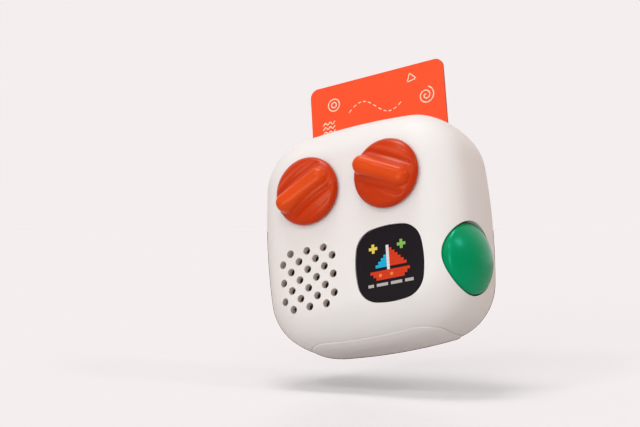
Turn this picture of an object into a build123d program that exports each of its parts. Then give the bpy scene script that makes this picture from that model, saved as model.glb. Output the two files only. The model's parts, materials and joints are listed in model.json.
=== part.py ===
from build123d import *
import os
from math import atan2, cos, degrees, hypot, radians, sin, sqrt, tan

# Audio story player for small children, in millimetres. +Z is up, the face with
# the knobs looks along -Y and +X is to the right of someone who looks at it.
# Every piece is drawn about the middle of the body and lifted at the end, so
# that the base pad rests on z = 0.

# ---------------------------------------------------------------- driving sizes

# Body: a pillow whose outline and whose depth are both chains of round arcs.
HALF_WIDTH = 39.5
HALF_HEIGHT = 39.6
HALF_DEPTH = 20.4
SIDE_RADIUS = 220.0          # long arcs of the outline
CORNER_RADIUS = 19.9         # corners of the outline
BULGE_RADIUS = 55.0          # side wall, seen in section
EDGE_RADIUS = 14.2           # round edge from the side wall to the face
WALL = 2.5
SPLIT_Y = 9.0                # joint plane of the two shells
LAP = 2.0                    # overlap of the tongue in the joint

# Clearances
FIT = 0.1                    # moulded piece in its seat
CLOSE_FIT = 0.03             # shaft in a knob, screw in its hole
RUNNING_FIT = 0.05           # shaft in a bush
MOVING_GAP = 0.3             # between pieces that pass each other

# Base pad
PAD_HALF_LENGTH = 25.0
PAD_HALF_DEPTH = 13.0
PAD_CORNER = 8.0
PAD_RECESS = 0.8
PAD_PROUD = 0.4
PAD_EDGE = 0.8

# Story card, the size of a bank card, and its slot
CARD_WIDTH = 54.0
CARD_LENGTH = 85.6
CARD_THICK = 0.76
CARD_CORNER = 3.18
CARD_Y = 5.7
CARD_SEAT = 16.7             # its lower edge above the lowest point of the body
CARD_SIDE_GAP = 0.4
SLEEVE_WALL = 0.9
SLEEVE_FLOOR = 1.2
PEG_RADIUS = 2.2
COLLAR_SIDE = 4.0            # from its ends to the sides of the body
COLLAR_FRONT_Y = -8.0
COLLAR_REAR_Y = 14.0
COLLAR_CORNER = 3.0
SLOT_LEAD_IN = 0.4

# Knobs and their push-button encoders
KNOB_X = 15.3
KNOB_Z = 14.7
KNOB_RADIUS = 12.0
KNOB_GAP = 0.9               # under the knob, at rest
KNOB_DISC = 4.4
KNOB_EDGE = 1.9              # rounding of the disc's rim
KNOB_FOOT_EDGE = 0.6
KNOB_POCKET = 1.6            # hollow in the underside
KNOB_WALL = 1.8
KNOB_HUB_RADIUS = 5.2
KNOB_PRESS = 0.5
GRIP_WIDTH = 6.8
GRIP_TIP = 11.0              # from the axis to the grip's pointing end
GRIP_RISE = 8.1              # top of the grip at its tip, above the knob's underside
GRIP_FALL = 4.6              # top of the grip at its tail
GRIP_ROUND = 2.4
SCOOP_RADIUS = 4.2
SCOOP_OFFSET = 6.5
SCOOP_DEPTH = 1.3
SCOOP_RUN = 3.5              # from the middle of a scoop to the centre of its round end
LEFT_POINTER = 210.0         # angle of each pointer, counter-clockwise from +X
RIGHT_POINTER = 154.0
SHAFT_RADIUS = 3.0
SHAFT_FLAT = 0.8
SHAFT_REACH = 4.2            # into the knob, above its underside
SHAFT_HOLE_RADIUS = 4.2      # in the front shell
ENCODER_WIDTH = 12.4
ENCODER_HEIGHT = 13.2
ENCODER_DEPTH = 6.5
ENCODER_WALL = 0.9
BUSH_RADIUS = 3.7
BUSH_LENGTH = 9.0
ROTOR_RADIUS = 4.8
ROTOR_THICK = 0.9
PUSH_PLATE_THICK = 0.6
SNAP_TOP_RADIUS = 3.0
SNAP_THICK = 0.25

# Loudspeaker and its grille
SPEAKER_SIDE = 7.6           # from its rim to the side of the body
SPEAKER_GAP = 5.6            # from its rim to the holder of the display
SPEAKER_RISE = 24.0          # its axis above the lowest point of the body
GRILLE_ROWS = 7              # rows of three and four holes in turn
GRILLE_LONG_ROW = 4
GRILLE_HOLE_RADIUS = 1.35
GRILLE_MARGIN = 3.15         # from the outermost holes to the rim of the mesh
SPEAKER_SCREW_TURNS = (75, -60)
SPEAKER_LIP = 1.5            # width of the flange that is clamped
SEAT_WALL = 0.9              # seat ring outside the speaker
SEAT_DEPTH = 3.4             # from the wall's inside to the gasket
GASKET_THICK = 0.5
FLANGE_THICK = 1.0
BASKET_DEPTH = 5.4
BASKET_WALL = 0.9
BASKET_REAR_RADIUS = 9.4
MAGNET_RADIUS = 8.0
MAGNET_THICK = 3.0
YOKE_THICK = 1.2
POLE_RADIUS = 3.3
VOICE_COIL_RADIUS = 4.0
VOICE_COIL_LENGTH = 3.6
COIL_GAP_RADIUS = 4.6
TAG_HALF_HEIGHT = 2.5
TAG_LENGTH = 3.0
ROLL_RADIUS = 1.1
CONE_THICK = 0.35
CONE_DEPTH = 3.2
MESH_THICK = 0.3
MESH_SEAT = 1.2              # from the wall's inside to the mesh
CLAMP_THICK = 1.2

# Display behind its window
SCREEN_SIDE = 15.0           # from its holder to the side of the body
SCREEN_RISE = 23.85          # its middle above the lowest point of the body
WINDOW_HALF_WIDTH = 12.8
WINDOW_HALF_HEIGHT = 13.05
WINDOW_SIDE_RADIUS = 34.0
WINDOW_CORNER_RADIUS = 8.0
WINDOW_THICK = 1.0
WINDOW_RECESS = 0.3
WINDOW_LEDGE = 1.7
WINDOW_TAPE = 0.2
PIXELS = 16
PIXEL_PITCH = 1.05
PIXEL_RIB = 0.25
GRID_THICK = 2.0
DIFFUSER_THICK = 0.5
MATRIX_THICK = 1.6
MATRIX_BORDER = 1.3
HOLDER_WALL = 1.2
HEADER_HALF_LENGTH = 6.0
HEADER_HALF_WIDTH = 1.2
HEADER_DROP = 5.0            # of the pin strip below the middle of the display

# Play button on the right-hand front edge
BUTTON_TURN = 12.8           # its axis, from +X towards the front
BUTTON_DROOP = 3.8           # and downwards, square to the body's side
BUTTON_Y = -7.3              # where the axis leaves the side
BUTTON_RISE = 23.7           # above the lowest point of the body
BUTTON_RADIUS = 12.0
BUTTON_SINK = 3.5            # from there in to the foot of the dome
DOME_HEIGHT = 5.2
CROWN_RADIUS = 19.5
DOME_WALL = 1.5
BUTTON_SKIRT = 5.2           # below the foot of the dome
STEM_RADIUS = 2.0
BUTTON_PRESS = 1.0
BUTTON_GAP = 0.5
GUIDE_WALL = 1.2
LUG_THICK = 1.2
LUG_REACH = 1.4
LUG_HALF_WIDTH = 3.0
SWITCH_BOARD_DROP = 3.25     # from the button's foot to the board behind it
SWITCH_BOARD_HALF_HEIGHT = 8.0
SWITCH_BOARD_HALF_DEPTH = 6.4
SWITCH_WIDTH = 4.5
SWITCH_HEIGHT = 2.2
SWITCH_PLUNGER = 0.6
SILICONE_RADIUS = 6.0
SILICONE_THICK = 0.7
SILICONE_TOP_RADIUS = 4.3
SWITCH_HEADER_LENGTH = 3.2

# Circuit boards
BOARD_FRONT_Y = 0.6
BOARD_THICK = 1.6
BOARD_MARGIN = 2.5           # to the inside of the wall
BOARD_CORNER = 13.0
SMALL_BOARD_THICK = 1.2
NFC_HALF_WIDTH = 25.0
NFC_HEIGHT = 40.0
NFC_TOP_Z = 24.0
NFC_BOARD_THICK = 0.8
COIL_TURNS = 4
COIL_TRACK = 0.6
COIL_THICK = 0.1
RADIO_HALF_WIDTH = 7.5
RADIO_HALF_HEIGHT = 8.5
RADIO_DROP = 22.3            # from the top of the body to the middle of the radio module
RADIO_THICK = 2.6
CHIPS = [                    # X and Z as shares of half the board, width, height, thickness
    (0.26, -0.27, 9.0, 9.0, 1.0),
    (-0.78, 0.50, 4.0, 5.0, 1.0),
    (0.78, 0.50, 4.0, 5.0, 1.2),
    (0.0, 0.10, 4.0, 2.6, 1.4),
    (0.40, -0.75, 6.0, 5.0, 0.9),
]

# Battery
BATTERY_WIDTH = 50.0
BATTERY_HEIGHT = 36.0
BATTERY_THICK = 5.6
BATTERY_Z = 2.0
FOAM_THICK = 1.0
TRAY_WALL = 1.2
TRAY_LIP = 0.8               # in front of the cell

# Sockets at the back
PORT_BOARD_HEIGHT = 8.7      # its upper face above the lowest point of the body
PORT_BOARD_HALF_LENGTH = 18.0
PORT_BOARD_FRONT_Y = 4.0
PORT_BOARD_REAR_Y = 14.4
PORT_POST_X = 15.0
PORT_POST_Y = 6.2
SOCKET_MOUTH_Y = 15.9
PLUG_RECESS_Y = 18.6
PLUG_RECESS_MARGIN = 1.8
USB_X = -6.0
USB_WIDTH = 8.94
USB_HEIGHT = 3.26
USB_LENGTH = 7.4
USB_SHELL = 0.3
JACK_X = 9.0
JACK_BORE_RADIUS = 1.8
JACK_BODY = 6.2
JACK_LENGTH = 12.0
JACK_COLLAR_RADIUS = 2.9
JACK_COLLAR_Y = 18.6
USB_TONGUE = 0.7
USB_TONGUE_WIDTH = 6.7
PORT_HEADER_X = (-6.0, 0.0)
SOCKET_CLEARANCE = 0.35

# Fasteners: thread radius, head radius, head height
CASE_SCREW = (1.25, 2.5, 1.7)
BOARD_SCREW = (1.0, 2.0, 1.3)
CASE_SCREW_LENGTH = 12.0
BOARD_SCREW_LENGTH = 6.0
SHORT_SCREW_LENGTH = 4.0
SLEEVE_SCREW_LENGTH = 3.2
BOSS_WALL = 1.6
CASE_SCREW_SIDE = 3.8        # upper case screws, out from the card's sleeve
CASE_SCREW_DROP = 15.6       # and down from the top
LOW_SCREW_SIDE = 13.0        # lower case screws, in from the sides and the bottom
LOW_SCREW_RISE = 7.6
BOARD_SCREW_SIDE = 8.0       # board screws beside the knobs, in from the sides
BOARD_SCREW_Z = 9.5
BOARD_SCREW_DROP = 8.6       # board screw at the top
BOARD_SCREW_X = 6.5          # board screw at the bottom
BOARD_SCREW_RISE = 7.1
SLEEVE_SCREWS = [            # X and Z
    (-22.0, 26.0), (22.0, 26.0), (-24.0, 4.5), (18.0, -12.5),
]

# Leads
LEAD_RADIUS = 0.7
BEND_SHARE = 0.45            # of the shorter run, taken by a bend
BATTERY_LEAD_X = 19.0
PLUG_HALF_WIDTH = 2.0
PLUG_HALF_HEIGHT = 1.5
PLUG_HEIGHT = 3.0            # above the board
SPEAKER_PLUG = (0.8, -0.3)   # X and Z
LOW_PLUG_RISE = 12.1         # the two plugs at the back, above the lowest point of the body
BATTERY_PLUG_X = 19.0
READER_PLUG_X = 2.2
LEAD_BENDS = (0.4, 0.76)     # shares of the way down where the leads at the back bend

# ---------------------------------------------------------------- derived places

FAR = 3 * HALF_HEIGHT
FRONT_INSIDE_Y = WALL - HALF_DEPTH
REAR_INSIDE_Y = HALF_DEPTH - WALL

COLLAR_HALF_LENGTH = HALF_WIDTH - COLLAR_SIDE
CARD_BOTTOM_Z = CARD_SEAT - HALF_HEIGHT
CARD_TOP_Z = CARD_BOTTOM_Z + CARD_LENGTH
SLOT_HALF_WIDTH = CARD_WIDTH / 2 + CARD_SIDE_GAP
SLOT_HALF_DEPTH = CARD_THICK / 2 + CARD_SIDE_GAP
SLEEVE_HALF_WIDTH = SLOT_HALF_WIDTH + SLEEVE_WALL
SLEEVE_FRONT_Y = CARD_Y - SLOT_HALF_DEPTH - SLEEVE_WALL
SLEEVE_REAR_Y = CARD_Y + SLOT_HALF_DEPTH + SLEEVE_WALL
SLEEVE_FLOOR_Z = CARD_BOTTOM_Z - MOVING_GAP

BOARD_REAR_Y = BOARD_FRONT_Y + BOARD_THICK
BOARD_HALF_WIDTH = HALF_WIDTH - WALL - BOARD_MARGIN
BOARD_HALF_HEIGHT = HALF_HEIGHT - WALL - BOARD_MARGIN
BOSS_RADIUS = CASE_SCREW[0] + CLOSE_FIT + BOSS_WALL
POST_RADIUS = BOARD_SCREW[0] + CLOSE_FIT + BOSS_WALL
COUNTERBORE_RADIUS = CASE_SCREW[1] + MOVING_GAP
PILLAR_RADIUS = COUNTERBORE_RADIUS + TRAY_WALL
BOSS_END_Y = SPLIT_Y - LAP / 2
SCREW_SEAT_Y = BOSS_END_Y + BOSS_WALL
CASE_SCREWS = [
    (SLEEVE_HALF_WIDTH + CASE_SCREW_SIDE, HALF_HEIGHT - CASE_SCREW_DROP),
    (-SLEEVE_HALF_WIDTH - CASE_SCREW_SIDE, HALF_HEIGHT - CASE_SCREW_DROP),
    (HALF_WIDTH - LOW_SCREW_SIDE, LOW_SCREW_RISE - HALF_HEIGHT),
    (LOW_SCREW_SIDE - HALF_WIDTH, LOW_SCREW_RISE - HALF_HEIGHT),
]
BOARD_SCREWS = [
    (BOARD_SCREW_SIDE - HALF_WIDTH, BOARD_SCREW_Z),
    (0, HALF_HEIGHT - BOARD_SCREW_DROP),
    (HALF_WIDTH - BOARD_SCREW_SIDE, BOARD_SCREW_Z),
    (BOARD_SCREW_X, BOARD_SCREW_RISE - HALF_HEIGHT),
]

KNOBS = {"left": (-KNOB_X, LEFT_POINTER), "right": (KNOB_X, RIGHT_POINTER)}
KNOB_BASE_Y = -HALF_DEPTH - KNOB_GAP
ENCODER_FRONT_Y = BOARD_FRONT_Y - ENCODER_DEPTH
ROTOR_FRONT_Y = ENCODER_FRONT_Y + ENCODER_WALL + MOVING_GAP
ROTOR_REAR_Y = ROTOR_FRONT_Y + ROTOR_THICK
PLATE_FRONT_Y = ROTOR_REAR_Y + MOVING_GAP
PLATE_REAR_Y = PLATE_FRONT_Y + PUSH_PLATE_THICK
SNAP_FRONT_Y = PLATE_REAR_Y + KNOB_PRESS + MOVING_GAP
ENCODER_FLOOR_Y = BOARD_FRONT_Y - ENCODER_WALL

MATRIX_HALF = PIXELS * PIXEL_PITCH / 2 + MATRIX_BORDER
HOLDER_HALF = MATRIX_HALF + FIT + HOLDER_WALL
SCREEN_X = HALF_WIDTH - SCREEN_SIDE - HOLDER_HALF
SCREEN_Z = SCREEN_RISE - HALF_HEIGHT

SPEAKER_RADIUS = (SCREEN_X - HOLDER_HALF - SPEAKER_GAP - SPEAKER_SIDE + HALF_WIDTH) / 2
SPEAKER_X = SPEAKER_SIDE + SPEAKER_RADIUS - HALF_WIDTH
SPEAKER_Z = SPEAKER_RISE - HALF_HEIGHT
SEAT_RADIUS = SPEAKER_RADIUS + SEAT_WALL
SEAT_END_Y = FRONT_INSIDE_Y + SEAT_DEPTH
MESH_RADIUS = SPEAKER_RADIUS - SPEAKER_LIP
MESH_Y = FRONT_INSIDE_Y + MESH_SEAT
GRILLE_PITCH = 2 * (MESH_RADIUS - GRILLE_MARGIN) / (GRILLE_LONG_ROW - 1)
FLANGE_FRONT_Y = SEAT_END_Y + GASKET_THICK
CLAMP_FRONT_Y = FLANGE_FRONT_Y + FLANGE_THICK
CLAMP_REAR_Y = CLAMP_FRONT_Y + CLAMP_THICK
BASKET_REAR_Y = FLANGE_FRONT_Y + BASKET_DEPTH
YOKE_FRONT_Y = BASKET_REAR_Y + MAGNET_THICK
SPEAKER_POST_REACH = SPEAKER_RADIUS + MOVING_GAP + POST_RADIUS
SPEAKER_SCREWS = [
    (
        SPEAKER_X + SPEAKER_POST_REACH * cos(radians(turn)),
        SPEAKER_Z + SPEAKER_POST_REACH * sin(radians(turn)),
    )
    for turn in SPEAKER_SCREW_TURNS
]

WINDOW_FRONT_Y = WINDOW_RECESS - HALF_DEPTH
TAPE_FRONT_Y = WINDOW_FRONT_Y + WINDOW_THICK
WINDOW_SEAT_Y = TAPE_FRONT_Y + WINDOW_TAPE
DIFFUSER_FRONT_Y = FRONT_INSIDE_Y + MOVING_GAP
GRID_FRONT_Y = DIFFUSER_FRONT_Y + DIFFUSER_THICK
MATRIX_FRONT_Y = GRID_FRONT_Y + GRID_THICK
HOLDER_LEDGE_Y = MATRIX_FRONT_Y + MATRIX_THICK
HOLDER_REAR_Y = HOLDER_LEDGE_Y + HOLDER_WALL
DISPLAY_POST_REACH = HOLDER_HALF + MOVING_GAP + POST_RADIUS
DISPLAY_SCREWS = [
    (SCREEN_X, SCREEN_Z + DISPLAY_POST_REACH),
    (SCREEN_X, SCREEN_Z - DISPLAY_POST_REACH),
]

BUTTON_FOOT = -BUTTON_SINK - BUTTON_SKIRT
GUIDE_RADIUS = BUTTON_RADIUS + BUTTON_GAP
GUIDE_END = BUTTON_FOOT + LUG_THICK + MOVING_GAP
SWITCH_BOARD_TOP = BUTTON_FOOT - SWITCH_BOARD_DROP
PLUNGER_TOP = SWITCH_BOARD_TOP + SWITCH_HEIGHT + SWITCH_PLUNGER
STEM_END = PLUNGER_TOP + BUTTON_PRESS + MOVING_GAP
SILICONE_TOP = STEM_END - FIT

BATTERY_FRONT_Y = REAR_INSIDE_Y - FOAM_THICK - BATTERY_THICK
NFC_REAR_Y = SLEEVE_REAR_Y + NFC_BOARD_THICK
NFC_BOTTOM_Z = NFC_TOP_Z - NFC_HEIGHT
PORT_BOARD_TOP_Z = PORT_BOARD_HEIGHT - HALF_HEIGHT
PORT_BOARD_BOTTOM_Z = PORT_BOARD_TOP_Z - SMALL_BOARD_THICK
USB_Z = PORT_BOARD_TOP_Z + USB_HEIGHT / 2
JACK_Z = PORT_BOARD_TOP_Z + JACK_BODY / 2


# ---------------------------------------------------------------- drawing helpers

def slab(outline, front_y, rear_y):
    """Solid between two depths, from an outline drawn in X and Z."""
    plane = Plane(origin=(0, rear_y, 0), x_dir=(1, 0, 0), z_dir=(0, -1, 0))
    return extrude(plane * outline, amount=rear_y - front_y)


def rod(x, z, radius, front_y, rear_y):
    """Round bar along Y."""
    return slab(Pos(x, z) * Circle(radius), front_y, rear_y)


def tall(outline, low_z, high_z):
    """Solid between two heights, from an outline drawn in X and Y."""
    return extrude(Pos(0, 0, low_z) * outline, amount=high_z - low_z)


def block(x_range, y_range, z_range):
    """Box between two values on each axis."""
    ranges = (x_range, y_range, z_range)
    middle = [(low + high) / 2 for low, high in ranges]
    lengths = [high - low for low, high in ranges]
    return Pos(*middle) * Box(*lengths)


def ring(x, z, outer, inner, front_y, rear_y):
    """Flat ring or tube along Y."""
    return slab(Pos(x, z) * (Circle(outer) - Circle(inner)), front_y, rear_y)


def turned(points, x, z, front_y):
    """Solid of revolution about an axis along Y. Each point is a radius and a
    depth behind front_y."""
    plane = Plane(origin=(x, front_y, z), x_dir=(1, 0, 0), z_dir=(0, 0, 1))
    profile = make_face(Polyline(*points, close=True))
    return revolve(plane * profile, Axis((x, front_y, z), (0, 1, 0)), 360)


def corner_arc(half_width, half_height, side_radius, corner_radius):
    """Corner arc that meets two long arcs of an outline: its centre and the
    angles of its two ends."""
    across, up = side_radius - half_width, side_radius - half_height
    span = hypot(across, up)
    lift = sqrt((side_radius - corner_radius) ** 2 - span ** 2 / 4)
    centre_x = lift * up / span - across / 2
    centre_z = lift * across / span - up / 2
    low = degrees(atan2(centre_z, centre_x + across))
    high = degrees(atan2(centre_z + up, centre_x))
    return (centre_x, centre_z), low, high


def squircle(half_width, half_height, side_radius, corner_radius):
    """Outline of four long arcs and four corner arcs, all tangent."""
    centre, low, high = corner_arc(half_width, half_height, side_radius, corner_radius)
    quarter = Curve() + [
        CenterArc((half_width - side_radius, 0), side_radius, 0, low),
        CenterArc(centre, corner_radius, low, high - low),
        CenterArc((0, half_height - side_radius), side_radius, high, 90 - high),
    ]
    half = quarter + mirror(quarter, Plane.YZ)
    return make_face(half + mirror(half, Plane.XZ))


def pillow(inset):
    """The body's rounded solid, shrunk evenly on every side. A section of a
    bulged wall and a round edge is turned about each arc of the outline."""
    half_width, half_height = HALF_WIDTH - inset, HALF_HEIGHT - inset
    half_depth = HALF_DEPTH - inset
    side_radius, corner_radius = SIDE_RADIUS - inset, CORNER_RADIUS - inset
    bulge_radius, edge_radius = BULGE_RADIUS - inset, EDGE_RADIUS - inset
    centre, low, high = corner_arc(half_width, half_height, side_radius, corner_radius)
    arcs = [
        ((half_width - side_radius, 0), side_radius, 0, low),
        (centre, corner_radius, low, high - low),
        ((0, half_height - side_radius), side_radius, high, 90 - high),
    ]
    edge_y = half_depth - edge_radius
    reach = sqrt((bulge_radius - edge_radius) ** 2 - edge_y ** 2)
    band = bulge_radius - reach
    bulge_turn = degrees(atan2(edge_y, reach))

    def sector(middle, outline_radius, start, sweep):
        """Section of the wall, turned about the centre of one arc."""
        edge_x = outline_radius - band
        section = make_face(Curve() + [
            CenterArc((outline_radius - bulge_radius, 0), bulge_radius, -bulge_turn, 2 * bulge_turn),
            CenterArc((edge_x, edge_y), edge_radius, bulge_turn, 90 - bulge_turn),
            CenterArc((edge_x, -edge_y), edge_radius, -90, 90 - bulge_turn),
            Polyline((edge_x, half_depth), (edge_x, -half_depth)),
        ])
        axis = Axis((middle[0], 0, middle[1]), (0, -1, 0))
        face = Pos(middle[0], 0, middle[1]) * section
        return revolve(face.rotate(axis, start), axis, sweep)

    core = [CenterArc(middle, radius - band, start, sweep) for middle, radius, start, sweep in arcs]
    core.append(Polyline((0, half_height - band), (0, 0), (half_width - band, 0)))
    quarter = slab(make_face(Curve() + core), -half_depth, half_depth)
    quarter += [sector(*arc) for arc in arcs]
    half = quarter + mirror(quarter, Plane.YZ)
    return half + mirror(half, Plane.XY)


def screw(length, sizes):
    """Round-headed screw that stands on z = 0, head up, with a hexagon socket."""
    thread_radius, head_radius, head_height = sizes
    base = (Align.CENTER, Align.CENTER, Align.MIN)
    head = Cylinder(head_radius, head_height, align=base)
    head = fillet(head.edges().group_by(Axis.Z)[-1], head_height / 2)
    socket = Pos(0, 0, head_height / 2) * extrude(RegularPolygon(thread_radius, 6), head_height)
    thread = Pos(0, 0, -length) * Cylinder(thread_radius, length, align=base)
    thread = chamfer(thread.edges().group_by(Axis.Z)[0], thread_radius / 3)
    return head + thread - socket


def screws(centres, seat_y, length, sizes, turn=-90):
    """Screws along Y at X and Z centres. They point to the front, or to the
    rear with a turn of 90."""
    one = screw(length, sizes)
    return Compound([Pos(x, seat_y, z) * Rot(turn, 0, 0) * one for x, z in centres])


def screw_holes(centres, sizes, end_y, depth):
    """Holes for screws that enter a boss at end_y."""
    radius = sizes[0] + CLOSE_FIT
    return [rod(x, z, radius, end_y - depth, end_y) for x, z in centres]


def lead(points):
    """Round lead along straight runs joined by large arcs."""
    radii = []
    for before, here, after in zip(points, points[1:], points[2:]):
        arriving = Vector(*here) - Vector(*before)
        leaving = Vector(*after) - Vector(*here)
        run = min(arriving.length, leaving.length)
        radii.append(BEND_SHARE * run / tan(radians(arriving.get_angle(leaving)) / 2))
    path = FilletPolyline(*points, radius=radii)
    start = Plane(origin=path @ 0, z_dir=path % 0)
    return sweep(start * Circle(LEAD_RADIUS), path=path)


def button_plane(height):
    """Plane across the button's axis, at a height above the body's side. Its X
    points up and its Y to the front."""
    turn, droop = radians(BUTTON_TURN), radians(BUTTON_DROOP)
    out = Vector(cos(turn) * cos(droop), -sin(turn) * cos(droop), -sin(droop))
    up = Vector(cos(turn) * sin(droop), -sin(turn) * sin(droop), cos(droop))
    side = Vector(HALF_WIDTH, BUTTON_Y, BUTTON_RISE - HALF_HEIGHT)
    return Plane(origin=side + out * height, x_dir=up, z_dir=out)


def button_rod(radius, low, high):
    """Round bar along the button's axis."""
    return extrude(button_plane(low) * Circle(radius), amount=high - low)


def button_box(half_height, half_depth, low, high):
    """Box across the button's axis."""
    return extrude(button_plane(low) * Rectangle(2 * half_height, 2 * half_depth), amount=high - low)


def button_turned(outline):
    """Solid of revolution about the button's axis. The outline's points are
    a radius and a height above the body's side."""
    profile = Plane.XZ * make_face(outline)
    return button_plane(0).location * revolve(profile, Axis.Z, 360)


# ---------------------------------------------------------------- shared solids

OUTSIDE = pillow(0)
MIDDLE = pillow(WALL / 2)
INSIDE = pillow(WALL)
TONGUE_SIDE = pillow(WALL / 2 + FIT)
SKIN = OUTSIDE - INSIDE


def between(front_y, rear_y):
    """Everything between two depths."""
    return block((-FAR, FAR), (front_y, rear_y), (-FAR, FAR))


def collar_plan(grow):
    """Upright prism over the plan of the slot collar, grown by a clearance."""
    length = 2 * (COLLAR_HALF_LENGTH + grow)
    depth = COLLAR_REAR_Y - COLLAR_FRONT_Y + 2 * grow
    outline = RectangleRounded(length, depth, COLLAR_CORNER + grow)
    return tall(Pos(0, (COLLAR_REAR_Y + COLLAR_FRONT_Y) / 2) * outline, 0, FAR)


def pad_plan(grow):
    """Upright prism over the plan of the base pad, grown by a clearance."""
    length, depth = 2 * (PAD_HALF_LENGTH + grow), 2 * (PAD_HALF_DEPTH + grow)
    return tall(RectangleRounded(length, depth, PAD_CORNER + grow), -FAR, 0)


def shared_cuts():
    """What both shells leave open: the collar, the sleeve and the base pad."""
    sleeve = block(
        (-SLEEVE_HALF_WIDTH - MOVING_GAP, SLEEVE_HALF_WIDTH + MOVING_GAP),
        (SLEEVE_FRONT_Y - MOVING_GAP, SLEEVE_REAR_Y + MOVING_GAP),
        (0, FAR),
    )
    return [
        sleeve,
        collar_plan(FIT) & (OUTSIDE - MIDDLE),
        pad_plan(FIT) & (OUTSIDE - pillow(PAD_RECESS)),
    ]


# ---------------------------------------------------------------- casing

def grille_centres():
    """Hole centres in short and long rows that change places."""
    centres = []
    for row in range(GRILLE_ROWS):
        count = GRILLE_LONG_ROW if row % 2 else GRILLE_LONG_ROW - 1
        z = SPEAKER_Z + (row - (GRILLE_ROWS - 1) / 2) * GRILLE_PITCH / 2
        for hole in range(count):
            centres.append((SPEAKER_X + (hole - (count - 1) / 2) * GRILLE_PITCH, z))
    return centres


def window_outline(grow):
    """Outline of the display window's seat, grown by a clearance."""
    outline = squircle(
        WINDOW_HALF_WIDTH + grow,
        WINDOW_HALF_HEIGHT + grow,
        WINDOW_SIDE_RADIUS + grow,
        WINDOW_CORNER_RADIUS + grow,
    )
    return Pos(SCREEN_X, SCREEN_Z) * outline


def front_shell():
    """Deep front half of the casing with its bosses, seats and openings."""
    inner = [rod(x, z, BOSS_RADIUS, -HALF_DEPTH, BOSS_END_Y) for x, z in CASE_SCREWS]
    inner += [rod(x, z, POST_RADIUS, -HALF_DEPTH, BOARD_FRONT_Y) for x, z in BOARD_SCREWS]
    inner += [rod(x, z, POST_RADIUS, -HALF_DEPTH, CLAMP_FRONT_Y) for x, z in SPEAKER_SCREWS]
    inner += [rod(x, z, POST_RADIUS, -HALF_DEPTH, HOLDER_LEDGE_Y) for x, z in DISPLAY_SCREWS]
    for x in (-PORT_POST_X, PORT_POST_X):
        post = Pos(x, PORT_POST_Y) * Circle(POST_RADIUS)
        inner.append(tall(post, -FAR, PORT_BOARD_BOTTOM_Z))
    seat = rod(SPEAKER_X, SPEAKER_Z, SEAT_RADIUS, -HALF_DEPTH, SEAT_END_Y)
    seat -= rod(SPEAKER_X, SPEAKER_Z, MESH_RADIUS - SEAT_WALL, FRONT_INSIDE_Y, MESH_Y)
    inner.append(seat)
    inner.append(button_rod(GUIDE_RADIUS + GUIDE_WALL, GUIDE_END, 0))
    shell = SKIN + [piece & MIDDLE for piece in inner]
    shell &= between(-FAR, SPLIT_Y)

    cuts = [(MIDDLE - INSIDE) & between(SPLIT_Y - LAP, SPLIT_Y)]
    cuts += [rod(x, KNOB_Z, SHAFT_HOLE_RADIUS, -FAR, 0) for x, _ in KNOBS.values()]
    cuts += [rod(x, z, GRILLE_HOLE_RADIUS, -FAR, SEAT_END_Y) for x, z in grille_centres()]
    cuts.append(rod(SPEAKER_X, SPEAKER_Z, MESH_RADIUS + FIT, MESH_Y, SEAT_END_Y))
    cuts.append(slab(window_outline(0), -FAR, WINDOW_SEAT_Y))
    cuts.append(slab(window_outline(-WINDOW_LEDGE), -FAR, DIFFUSER_FRONT_Y))
    cuts.append(button_rod(GUIDE_RADIUS, BUTTON_FOOT, FAR))
    cuts += screw_holes(CASE_SCREWS, CASE_SCREW, BOSS_END_Y, CASE_SCREW_LENGTH)
    cuts += screw_holes(BOARD_SCREWS, BOARD_SCREW, BOARD_FRONT_Y, BOARD_SCREW_LENGTH)
    cuts += screw_holes(SPEAKER_SCREWS, BOARD_SCREW, CLAMP_FRONT_Y, SHORT_SCREW_LENGTH)
    cuts += screw_holes(DISPLAY_SCREWS, BOARD_SCREW, HOLDER_LEDGE_Y, SHORT_SCREW_LENGTH)
    for x in (-PORT_POST_X, PORT_POST_X):
        hole = Pos(x, PORT_POST_Y) * Circle(BOARD_SCREW[0] + CLOSE_FIT)
        cuts.append(tall(hole, PORT_BOARD_BOTTOM_Z - SHORT_SCREW_LENGTH, PORT_BOARD_BOTTOM_Z))
    return shell - cuts - shared_cuts()


def rear_shell():
    """Shallow back cover with its tongue, screw pillars and socket openings."""
    tongue = (TONGUE_SIDE - pillow(WALL - FIT)) & between(SPLIT_Y - LAP + FIT, SPLIT_Y)
    pillars = [rod(x, z, PILLAR_RADIUS, BOSS_END_Y, HALF_DEPTH) for x, z in CASE_SCREWS]
    shell = SKIN & between(SPLIT_Y, FAR)
    shell += [tongue] + [pillar & TONGUE_SIDE for pillar in pillars]
    cuts = [rod(x, z, COUNTERBORE_RADIUS, SCREW_SEAT_Y, FAR) for x, z in CASE_SCREWS]
    cuts += [rod(x, z, CASE_SCREW[0] + FIT, 0, FAR) for x, z in CASE_SCREWS]

    usb = USB_WIDTH + 2 * SOCKET_CLEARANCE, USB_HEIGHT + 2 * SOCKET_CLEARANCE
    margin = 2 * PLUG_RECESS_MARGIN
    cuts.append(slab(Pos(USB_X, USB_Z) * SlotOverall(*usb), 0, FAR))
    recess = SlotOverall(usb[0] + margin, usb[1] + margin)
    cuts.append(slab(Pos(USB_X, USB_Z) * recess, PLUG_RECESS_Y, FAR))
    cuts.append(rod(JACK_X, JACK_Z, JACK_COLLAR_RADIUS + FIT, 0, FAR))
    return shell - cuts - shared_cuts()


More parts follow.
